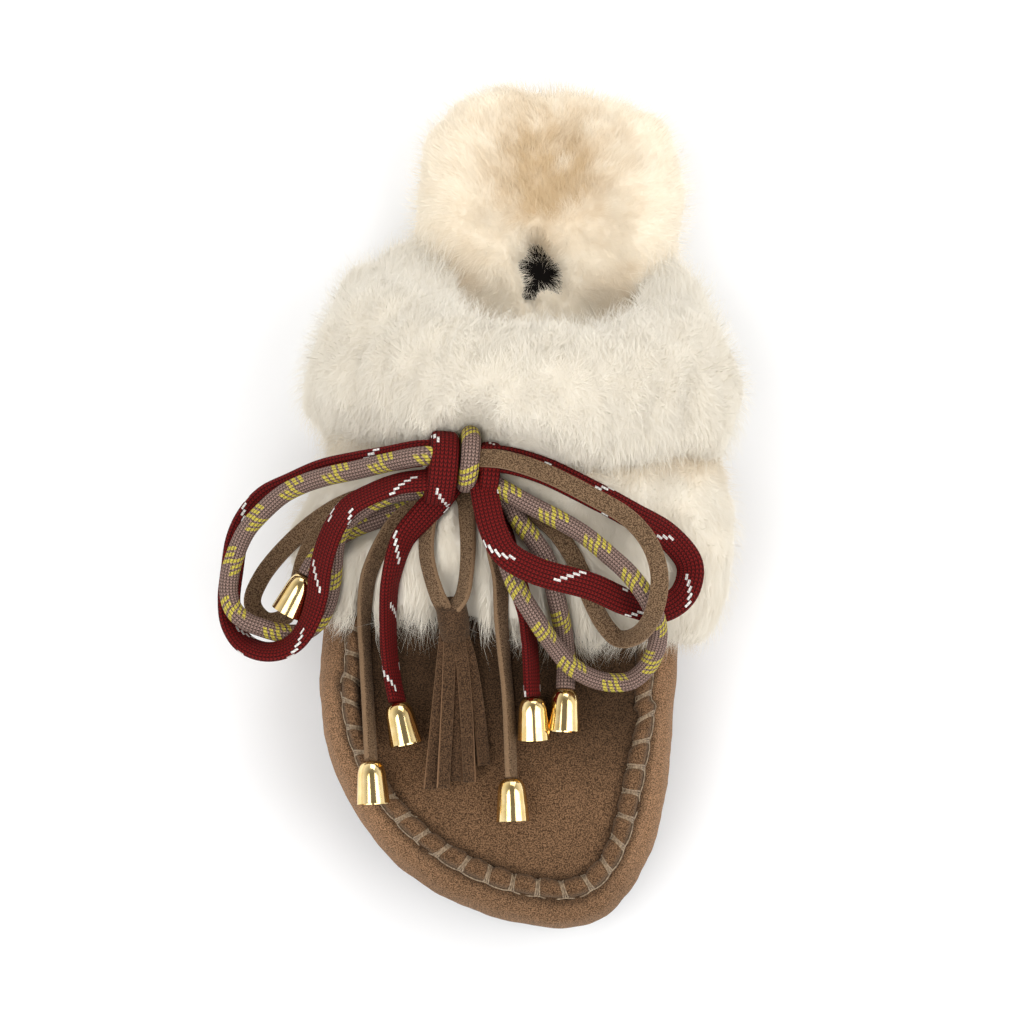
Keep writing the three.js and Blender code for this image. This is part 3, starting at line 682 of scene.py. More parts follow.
@dataclass(frozen=True)
class Gold:
    """Polished pale gold plating with faint handling marks."""

    name: str = "bell_gold"
    deep: Colour = (0.90, 0.65, 0.27)
    pale: Colour = (0.97, 0.75, 0.38)
    marks: float = 1.2
    depth: float = 0.004

    def make(self) -> Material:
        """The material."""
        graph = Graph(self.name, {"Metallic": 1.0, "Roughness": 0.12})
        colour = graph.mix(graph.cloud(2.5, 2.0), self.deep, self.pale)
        return graph.finish(colour, graph.noise(self.marks, 2.0), self.depth)


@dataclass(frozen=True)
class Moulded:
    """Rubber, or pressed leather, with a fine grain."""

    name: str
    base: Colour
    grain: float = 0.6
    roughness: float = 0.55
    gloss: float = 0.4
    depth: float = 0.05

    def make(self) -> Material:
        """The material."""
        graph = Graph(self.name, {"Roughness": self.roughness, "Specular IOR Level": self.gloss})
        grain = graph.noise(self.grain, 2.0)
        colour = graph.mix(graph.cloud(14.0, 2.0), toned(self.base, 0.85), toned(self.base, 1.2))
        return graph.finish(colour, grain, self.depth)


@dataclass(frozen=True)
class Thread:
    """Waxed sewing thread with a twist."""

    name: str = "seam_thread"
    dark: Colour = (0.18, 0.12, 0.068)
    light: Colour = (0.37, 0.27, 0.168)
    twist: float = 0.5
    stretch: Point = (1.0, 0.4, 1.0)
    depth: float = 0.12

    def make(self) -> Material:
        """The material."""
        sockets = {"Roughness": 0.6, "Specular IOR Level": 0.4, "Sheen Weight": 0.15}
        graph = Graph(self.name, sockets)
        twist = graph.noise(self.twist, 1.0, self.stretch)
        colour = graph.mix(graph.between(twist, 0.35, 0.65), self.dark, self.light)
        return graph.finish(colour, twist, self.depth)


# The shoe's form

FORM_YS = (145, 74, 45, 15, -20, -50, -84)
SOLE_YS = (145, 112, 58, 42, 8, -10, -82, -108, -130)
BED_YS = (128.4, 126, 120, 110, 94, 76, 56, 20, -20, -60, -90, -108, -116)


@dataclass(frozen=True)
class Last:
    """The form inside the upper, as sections from heel to toe.

    A row of the wall has its place over the shoe, its distance in from the edge and its share of the height.
    """

    outer: Profile = Profile(FORM_YS, (-31, -35, -38.5, -45, -51, -53.5, -48))
    inner: Profile = Profile(FORM_YS, (39, 43, 46, 50, 52.5, 53.3, 53.4))
    top: Profile = Profile(FORM_YS, (4, 4, 3, 2, 1, 3, 12))
    seam: Profile = Profile(FORM_YS, (60, 58, 56, 53, 49, 45, 41.5))
    crown: Profile = Profile(FORM_YS, (112, 101, 91, 78, 63, 54, 47))
    sole_top: Profile = Profile(SOLE_YS, (18, 18, 17, 15.5, 13, 12, 12.5, 14.5, 18))
    sole_bottom: Profile = Profile(SOLE_YS, (1.5, 0, 0, 2.4, 2.4, 0, 0, 2.6, 7.5))
    wall: tuple[Point, ...] = (
        (0, 7, 0), (0.06, 2.4, 0.13), (0.16, 0, 0.38), (0.26, 1.2, 0.66), (0.34, 4.6, 0.88), (0.4, 9, 1),
    )
    seam_over: float = 0.4
    seam_width: float = 3.2
    stitch: float = 7.5
    gap: float = 0.3
    bend: float = 1.7
    throat: float = 28.0
    waist: float = 76.0
    toe_centre: tuple[float, float] = (20.0, -58.0)
    toe_tip: float = -128.4
    toe_fullness: tuple[float, float] = (2.0, 2.7)
    toe_seam: float = 38.0
    toe_end: tuple[float, float] = (12.0, -84.0)

    def edge(self, sign: int) -> Profile:
        """The outer edge for -1, the inner edge for 1."""
        return self.outer if sign < 0 else self.inner

    def toe_outline(self, angle: float) -> tuple[float, float]:
        """A point of the toe's outline: angle 0 is on the outer side, a half turn on the inner side."""
        x, y = self.toe_centre
        outer = angle <= math.pi / 2
        reach = float(self.edge(-1 if outer else 1)(y)) - x
        along, out = quarter_oval(angle if outer else math.pi - angle, self.toe_fullness[0 if outer else 1])
        return x + reach * along, y + (self.toe_tip - y) * out

    def side_point(self, sign: int, y: Array, inset: Array, share: Array) -> Array:
        """Plan points on one side: in from the edge, then a share of the way to the top line."""
        x = lerp(self.edge(sign)(y) - sign * inset, self.top(y), share)
        return np.stack([x, y], axis=-1)

    def on_upper(self, sign: int, y: float, over: float) -> Array:
        """A point on the upper's face without its seam: over is 0 at the sole and 1 on the top line."""
        table = np.array(self.wall)
        if over >= self.seam_over:
            share = (over - self.seam_over) / (1.0 - self.seam_over)
            inset = table[-1, 1] + self.seam_width
            x, _ = self.side_point(sign, np.array(y), np.array(inset), np.array(share))
            return np.array([x, y, lerp(self.seam(y), self.crown(y), 1.0 - (1.0 - share) ** 2)])
        inset = np.interp(over, table[:, 0], table[:, 1])
        rise = np.interp(over, table[:, 0], table[:, 2])
        x, _ = self.side_point(sign, np.array(y), np.array(inset), np.array(0.0))
        return np.array([x, y, lerp(self.sole_top(y), self.seam(y), rise)])


LAST = Last()


@dataclass(frozen=True)
class HalfLine:
    """The line of a half section from the sole to the top line, point by point.

    A point has its place over the shoe, its distance in from the edge, its share of the wall's height, its
    share of the way over the apron, and its place across the seam's ridge, which is -1 off the ridge.
    """

    over: Array
    inset: Array
    rise: Array
    share: Array
    ridge: Array


class Section(ABC):
    """A half section of the upper."""

    @abstractmethod
    def lay(self, line: HalfLine, inward: Array) -> tuple[Array, float, float, float]:
        """Lay the line on the form.

        Args:
            line: The line of the half section.
            inward: How far in from the edge its points are.

        Returns:
            Points in plan, and the heights of the seam, the top line and the foot.
        """


@dataclass(frozen=True)
class SideSection(Section):
    """A half section on one side, from the sole at start to the top line at end."""

    sign: int
    start: float
    end: float
    slope: float

    def lay(self, line: HalfLine, inward: Array) -> tuple[Array, float, float, float]:
        """Lay the line from side to top, leaning back by the slope."""
        half = abs(float(LAST.edge(self.sign)(self.start)) - float(LAST.top(self.end)))
        leaning = 1.0 - (1.0 - line.over) ** LAST.bend
        straight = lerp(inward / half, 1.0, line.share)
        y = lerp(self.start, self.end, lerp(straight, leaning, self.slope))
        plan = LAST.side_point(self.sign, y, inward, line.share)
        seam_lean = 1.0 - (1.0 - LAST.seam_over) ** LAST.bend
        seam_y = lerp(self.start, self.end, lerp(LAST.wall[-1][1] / half, seam_lean, self.slope))
        foot = float(LAST.sole_top(self.start)) + LAST.gap
        return plan, float(LAST.seam(seam_y)), float(LAST.crown(self.end)), foot


@dataclass(frozen=True)
class ToeSection(Section):
    """A half section round the toe: angle 0 is on the outer side, a half turn on the inner side."""

    angle: float

    def lay(self, line: HalfLine, inward: Array) -> tuple[Array, float, float, float]:
        """Lay the line from the toe's outline to the top line's end."""
        rim = np.array(LAST.toe_outline(self.angle))
        way = np.array(LAST.toe_end) - rim
        reach = np.linalg.norm(way)
        plan = rim + (way / reach) * lerp(inward, reach, line.share)[:, None]
        seam = lerp(float(LAST.seam(LAST.toe_centre[1])), LAST.toe_seam, math.sin(self.angle) ** 2)
        foot = float(LAST.sole_top(rim[1])) + LAST.gap
        return plan, seam, float(LAST.crown(LAST.toe_end[1])), foot


@dataclass
class Upper:
    """The suede upper: a shell that is puckered and creased along the line of its moccasin seam.

    Once it is built, it holds the points of its inner face, and for each place on the seam a point with the
    directions across the seam and out of it.
    """

    side_steps: int = 84
    toe_steps: int = 62
    wall_steps: int = 30
    ridge_steps: int = 12
    apron_steps: int = 34
    lining_step: int = 3
    thickness: float = 2.5
    ridge_height: float = 1.2
    ridge_width: float = 4.6
    ridge_lift: float = 0.8
    pucker: float = 0.5
    pucker_reach: float = 4.5
    # Painted light and shade: the toe ranges over which the walls' painted light fades and the apron's grows,
    # and the distances from the seam over which its painted shade gives way.
    wall_toe: Spot = (98.0, 122.0)
    apron_toe: Spot = (62.0, 96.0)
    seam_painted_shade: Spot = (2.0, 6.5)
    crease_off: float = 7.0
    creases: tuple[tuple[float, float, float, float], ...] = (
        (0.30, 5.0, 16.0, 0.8), (0.365, 4.0, 13.0, -0.7), (0.43, 4.5, 15.0, 0.6), (0.485, 3.6, 12.0, -0.8),
        (0.53, 4.0, 14.0, 0.6), (0.58, 3.8, 13.0, -0.7), (0.635, 4.6, 15.0, 0.7), (0.70, 5.0, 16.0, -0.6),
    )
    inside: Array = field(init=False)
    seam: Array = field(init=False)

    def _sections(self) -> list[Section]:
        """The half sections from the outer topline round the toe to the inner one."""
        sides = []
        for sign in (-1, 1):
            side = []
            for i in range(self.side_steps):
                share = i / self.side_steps
                start = lerp(LAST.waist, LAST.toe_centre[1], share)
                side.append(SideSection(sign, start, lerp(LAST.throat, LAST.toe_end[1], share), 1 - share))
            sides.append(side)
        angles = [i / (2 * self.toe_steps) * math.pi for i in range(2 * self.toe_steps + 1)]
        return sides[0] + [ToeSection(angle) for angle in angles] + sides[1][::-1]

    def _half_line(self) -> HalfLine:
        """The line that every half section follows."""
        wall = resample(through(LAST.wall, 0.01), self.wall_steps)
        foothold = LAST.wall[-1][1]
        far = foothold + LAST.seam_width
        slack = (self.ridge_width - LAST.seam_width) / 2
        wall = wall[wall[:, 1] <= foothold]
        spot = np.linspace(0.0, 1.0, self.ridge_steps + 2)[1:-1]
        share = np.linspace(0.0, 1.0, self.apron_steps) ** 1.15
        on_seam = np.full(len(spot), LAST.seam_over)
        ridge_inset = lerp(foothold - slack, far + slack, spot)
        return HalfLine(
            over=np.concatenate([wall[:, 0], on_seam, lerp(LAST.seam_over, 1.0, share)]),
            inset=np.concatenate([wall[:, 1], ridge_inset, np.full(len(share), far)]),
            rise=np.concatenate([wall[:, 2], np.ones(len(spot)), np.ones(len(share))]),
            share=np.concatenate([np.zeros(len(wall) + len(spot)), share]),
            ridge=np.concatenate([np.full(len(wall), -1.0), spot, np.full(len(share), -1.0)]),
        )

    @staticmethod
    def _points(section: Section, line: HalfLine, grow: float) -> Array:
        """Points of one half section without its ridge.

        Args:
            section: Where the section stands.
            line: The line that it follows.
            grow: How far the form is swelled.

        Returns:
            Points from the sole to the top line.
        """
        plan, seam, crown, foot = section.lay(line, line.inset - grow)
        apron = lerp(seam, crown, 1.0 - (1.0 - line.share) ** 2) + grow
        wall = lerp(foot, seam + grow, line.rise)
        return np.column_stack([plan, np.where(line.share > 0, apron, wall)])

    def build(self, suede: Material, lining: Material) -> None:
        """Build the shell.

        Args:
            suede: Finish of the outer face.
            lining: Finish of the inner face.
        """
        line = self._half_line()
        sections = self._sections()
        skin = np.array([self._points(section, line, 0.0) for section in sections])
        inside = np.array([self._points(section, line, -self.thickness) for section in sections])
        on_ridge = line.ridge >= 0
        centre = int(np.argmin(np.abs(line.ridge - 0.5)))
        middle = skin[:, centre]
        away = np.linalg.norm(skin - middle[:, None], axis=2)
        normal = grid_normals(skin)
        raised = np.where(on_ridge[None, :, None], unit(normal + self.ridge_lift * UP), normal)
        first, last = np.flatnonzero(on_ridge)[[0, -1]]
        self.seam = np.stack([middle, unit(skin[:, last] - skin[:, first]), raised[:, centre]], axis=1)
        self.inside = inside
        skin = skin + raised * self._lift(skin, line, distances(middle), away)[..., None]
        # Painted light and shade: the walls are painted paler as if lit with sheen, less so at the toe where
        # shade falls; the apron is painted darker by the tongue and paler towards the toe; the suede by the
        # seam keeps a painted shade.
        wall = 1.0 - 0.4 * smoothstep(-skin[..., 1], *self.wall_toe)
        apron = 0.45 * smoothstep(-skin[..., 1], *self.apron_toe)
        painted_lighting = np.where(line.share[None] > 0, apron, wall) * smoothstep(away, *self.seam_painted_shade)
        maker = MeshMaker()
        maker.grid(skin, looks(skin, painted_lighting))
        rows, columns = (
            np.unique(np.append(np.arange(0, size, self.lining_step), size - 1)) for size in inside.shape[:2]
        )
        maker.grid(inside[np.ix_(rows, columns)], flip=True, finish=1)
        maker.grid(np.stack([inside[0], skin[0]]), finish=1)
        maker.grid(np.stack([skin[-1], inside[-1]]), finish=1)
        maker.grid(np.stack([inside[:, 0], skin[:, 0]], axis=1), finish=0)
        declare(maker.build("suede_upper", [suede, lining], weld=0.02), "upper")

    def _lift(self, skin: Array, line: HalfLine, run: Array, away: Array) -> Array:
        """How far the outer face stands out: its ridge, puckers, creases and unevenness.

        Args:
            skin: Points of the smooth outer face.
            line: The line of the half sections.
            run: Distance along the seam of each section.
            away: Distance of each point from the seam.

        Returns:
            How far each point is moved out.
        """
        bulge = np.sin(np.pi * np.clip(line.ridge, 0.0, 1.0)) ** 0.55 * (line.ridge >= 0)
        lift = self.ridge_height * np.tile(bulge, (len(skin), 1))
        wave = np.cos(2.0 * np.pi * run / LAST.stitch)[:, None]
        off_ridge = np.maximum(away - self.ridge_width / 2, 0.0)
        near = np.exp(-off_ridge / self.pucker_reach) * (line.ridge < 0)[None]
        lift = lift - self.pucker * wave * near
        lift = lift + self._folds(run, away, line.share)
        return lift + 0.22 * Ripple(19.0, 4)(skin) + 0.10 * Ripple(7.0, 5)(skin)

    def _folds(self, run: Array, away: Array, share: Array) -> Array:
        """Soft folds that fan out below the seam, placed along it.

        Args:
            run: Distance along the seam of each section.
            away: Distance of each point from the seam.
            share: Share of the way over the apron of each column.

        Returns:
            How far each point is moved out.
        """
        moved = np.zeros(away.shape)
        wall = (share == 0)[None]
        for place, width, reach, depth in self.creases:
            across = np.exp(-(((run - place * run[-1]) / width) ** 2))[:, None]
            moved += depth * across * np.exp(-((away - self.crease_off) / reach) ** 2) * wall
        return moved


@dataclass
class Seam:
    """The rolled moccasin seam, drawn in by bars of thread at every stitch.

    Its line holds, for each place, a point with the directions across the seam and out of it.
    """

    line: Array
    half: float = 2.5
    height: float = 4.2
    pinch: float = 0.46
    narrowed: float = 0.16
    grip: float = 1.3
    uneven: float = 0.09
    rough: float = 0.12
    scallop: float = 0.8
    slit: float = 1.0
    slit_angle: float = 1.75
    slit_width: float = 0.17
    slit_share: float = 0.16
    sunk: float = 0.5
    step: float = 0.5
    columns: int = 20
    tucked: float = 0.3
    thread: float = 0.26
    thread_sides: int = 5
    bar_tucked: float = 0.2
    lanes: tuple[float, ...] = (-0.6, 0.0, 0.62)
    bar_points: int = 11
    run: Array = field(init=False)
    path: Array = field(init=False)
    across: Array = field(init=False)
    out: Array = field(init=False)

    def __post_init__(self) -> None:
        """Space the line evenly and even it out."""
        far = distances(self.line[:, 0])
        self.run = np.arange(0.0, far[-1], self.step)
        flat = self.line.reshape(len(self.line), -1)
        laid = softened(interpolate(self.run, far, flat).reshape(-1, 3, 3), 4)
        self.path = laid[:, 0]
        self.across = unit(laid[:, 1])
        self.out = unit(laid[:, 2])

    def _form(self, angle: Array, proud: float = 0.0) -> Array:
        """Points of the roll.

        Args:
            angle: Places round its section, from 0 on the apron's side over the top to a half turn.
            proud: How far outside its face the points are.

        Returns:
            Rows along the seam by places round it.
        """
        turn = self.run / LAST.stitch
        near = (turn - np.round(turn)) * LAST.stitch
        held = np.exp(-((near / self.grip) ** 2))[:, None]
        full = 1.0 - held
        size = 1.0 + self.uneven * np.sin(2.4 * np.floor(turn + 0.5))[:, None]
        toe = np.exp(-(((self.run / self.run[-1] - 0.5) / self.slit_share) ** 4))[:, None]
        in_slit = np.exp(-(((angle[None] - self.slit_angle) / self.slit_width) ** 2))
        cut = self.slit * toe * full**2 * in_slit
        wide = self.half * (1.0 - self.narrowed * held) + proud
        tall = self.height * size * (1.0 - self.pinch * held) - cut + proud
        shift = self.scallop * size * full * np.maximum(np.cos(angle), 0.0)[None]
        aside = wide * np.cos(angle)[None] + shift
        rise = tall * np.sign(np.sin(angle))[None] * np.abs(np.sin(angle))[None] ** 0.9 - self.sunk
        out = self.out[:, None]
        points = self.path[:, None] + aside[..., None] * self.across[:, None] + rise[..., None] * out
        return points + self.rough * Ripple(3.0, 41)(points)[..., None] * out

    def build(self, suede: Material) -> None:
        """Build the roll.

        Args:
            suede: Its finish.
        """
        angle = np.linspace(math.pi + self.tucked, -self.tucked, self.columns)
        roll = self._form(angle)
        # Painted highlight: the top of the roll is painted paler.
        painted_lighting = 0.5 * np.maximum(np.sin(angle), 0.0) ** 1.4
        maker = MeshMaker()
        maker.grid(roll, looks(roll, painted_lighting), caps=True)
        declare(maker.build("seam_roll", [suede]))

    def sew(self, finish: Material) -> None:
        """Sew the bars over the roll and the running thread along its two sides.

        Args:
            finish: The thread's finish.
        """
        angle = np.linspace(math.pi + self.bar_tucked, -self.bar_tucked, self.bar_points)
        face = self._form(angle, 0.12)
        maker = MeshMaker()
        for k in range(1, int(self.run[-1] / LAST.stitch)):
            for lane in self.lanes:
                spread = lane * (0.75 + 0.35 * np.cos(angle) ** 2) + 0.3 * math.sin(1.7 * k) * np.cos(angle)
                places = k * LAST.stitch + spread
                bar = [interpolate(places[j : j + 1], self.run, face[:, j])[0] for j in range(len(angle))]
                maker.tube(np.array(bar), self.thread, self.thread_sides)
        for place, radius in ((math.pi + 0.02, 0.24), (-0.02, 0.2)):
            line = self._form(np.array([place]), 0.3)[::2, 0] + 0.35 * self.out[::2]
            maker.tube(line, radius, self.thread_sides)
        declare(maker.build("seam_thread", [finish]))


@dataclass
class Sole:
    """The rubber sole: wedge, arch, toe spring, rib round the side and cross grooves."""

    inset: float = 1.6
    rib: float = 1.4
    rib_from: float = 0.45
    rib_to: float = 0.7
    bottom_inset: float = 3.0
    heel: tuple[float, float] = (4.0, 84.0)
    heel_end: float = 120.0
    heel_half: float = 34.0
    heel_fullness: float = 2.2
    heel_blend: float = 50.0
    groove_depth: float = 1.8
    groove_width: float = 2.6
    groove_pitch: float = 11.0
    grooves: tuple[tuple[float, int], ...] = ((-76.0, 6), (66.0, 4))
    heel_steps: int = 24
    side_steps: int = 46
    toe_steps: int = 40

    def _stations(self) -> list[tuple[Spot, Spot]]:
        """Points of the outline, each with the point of the middle line that it faces."""
        x, y = self.heel
        heel_middle = (float(LAST.top(y)), y)

        def turn(sign: int, angle: float) -> tuple[Spot, Spot]:
            """A station on the heel's round end."""
            along, out = quarter_oval(angle, self.heel_fullness)
            return (x + sign * self.heel_half * along, y + (self.heel_end - y) * out), heel_middle

        def side(sign: int, i: int) -> tuple[Spot, Spot]:
            """A station on the side."""
            place = lerp(y, LAST.toe_centre[1], i / self.side_steps)
            blend = float(smoothstep(place, y - self.heel_blend, y))
            edge = float(lerp(LAST.edge(sign)(place), x + sign * self.heel_half, blend))
            return (edge, place), (float(LAST.top(place)), place)

        quarter = math.pi / 2
        toe = [LAST.toe_outline(quarter * i / self.toe_steps) for i in range(2 * self.toe_steps + 1)]
        found = [turn(-1, quarter * (1 - i / self.heel_steps)) for i in range(self.heel_steps)]
        found += [side(-1, i) for i in range(self.side_steps)]
        found += [(rim, LAST.toe_end) for rim in toe]
        found += [side(1, i) for i in reversed(range(self.side_steps))]
        found += [turn(1, quarter * i / self.heel_steps) for i in range(1, self.heel_steps)]
        return found

    def _profile(self, reach: float) -> list[Spot]:
        """The section from the middle of the tread round the side to the middle of the top.

        Args:
            reach: Distance from the outline to the middle line.

        Returns:
            Points as the distance in from the outline and the share of the sole's height.
        """
        bottom = self.inset + self.bottom_inset
        side = self.inset + self.rib
        halfway = lerp(bottom, reach, 0.5)
        low, high = self.rib_from, self.rib_to
        return [
            (reach, 0.0), (halfway, 0.0), (bottom + 0.6, 0.0), (bottom - 0.4, 0.015),
            (side + 0.5, 0.1), (side, 0.17), (side, low - 0.02),
            (self.inset + 0.25, low + 0.01), (self.inset, low + 0.06),
            (self.inset, high - 0.05), (self.inset + 0.25, high),
            (side, high + 0.03), (side, 0.95), (side + 0.5, 1.0), (halfway, 1.0), (reach, 1.0),
        ]

    def build(self, finish: Material) -> None:
        """Build the sole.

        Args:
            finish: The rubber.
        """
        rows = []
        for rim, middle in self._stations():
            way = np.array(middle) - np.array(rim)
            reach = float(np.linalg.norm(way))
            way = way / reach
            row = []
            for inset, height in self._profile(reach):
                x, y = np.array(rim) + way * inset
                row.append((x, y, lerp(float(LAST.sole_bottom(y)), float(LAST.sole_top(y)), height)))
            rows.append(row)
        maker = MeshMaker()
        maker.grid(np.array(rows + rows[:1]))
        made = maker.build("rubber_sole", [finish], weld=0.01)
        self._cut(made)
        declare(made, "outsole")

    def _cut(self, made: Piece) -> None:
        """Cut the cross grooves into the tread."""
        maker = MeshMaker()
        half = self.groove_width / 2
        for start, count in self.grooves:
            for i in range(count):
                y = start + i * self.groove_pitch
                floor, top = half * 0.8, self.groove_depth
                ring = [(y - half, -3.0), (y + half, -3.0), (y + floor, top), (y - floor, top)]
                rows = np.array([[(x, a, b) for a, b in ring] for x in (-80.0, 80.0)])
                maker.grid(rows, wrap=True, caps=True)
        cutter = maker.build("groove_cutter", [], weld=0.001)
        step = made.modifiers.new("grooves", "BOOLEAN")
        step.operation = "DIFFERENCE"
        step.solver = "EXACT"
        step.object = cutter
        graph = bpy.context.evaluated_depsgraph_get()
        cut = bpy.data.meshes.new_from_object(made.evaluated_get(graph))
        made.modifiers.clear()
        made.data = cut
        bpy.data.objects.remove(cutter)
        cut.polygons.foreach_set("use_smooth", np.ones(len(cut.polygons), dtype=bool))
        cut.set_sharp_from_angle(angle=math.radians(40.0))


# The bow

class LaceKind(Enum):
    """The three laces of the bow."""

    BURGUNDY = "burgundy"
    TAUPE = "taupe"
    THONG = "thong"


@dataclass(frozen=True)
class Lace:
    """Section of a lace. Fullness 2 is an oval, and more is squarer."""

    width: float
    thick: float
    fullness: float
    slot: str

    def ring(self, sides: int) -> tuple[Array, Array]:
        """The section's outline from below, and the distance round it."""
        x, y = oval(full_turn(sides) - np.pi / 2, self.fullness)
        outline = np.stack([self.width / 2 * x, self.thick / 2 * y], axis=1)
        return outline, distances(outline)


LACES = {
    LaceKind.BURGUNDY: Lace(8.0, 3.0, 2.6, "burgundy_lace"),
    LaceKind.TAUPE: Lace(5.5, 5.5, 2.0, "taupe_lace"),
    LaceKind.THONG: Lace(5.2, 2.0, 4.5, "thong"),
}


@dataclass(frozen=True)
class Route:
    """One free strand of the bow: its lace, the points that it passes and how it is rolled.

    Lead and tail are where it runs into the knot, or under another strand, before and after those points.
    """

    lace: LaceKind
    points: tuple[Point, ...]
    turns: tuple[float, ...] = (0.0, 0.0)
    bell: Optional[str] = None
    lead: tuple[Point, ...] = ()
    tail: tuple[Point, ...] = ()


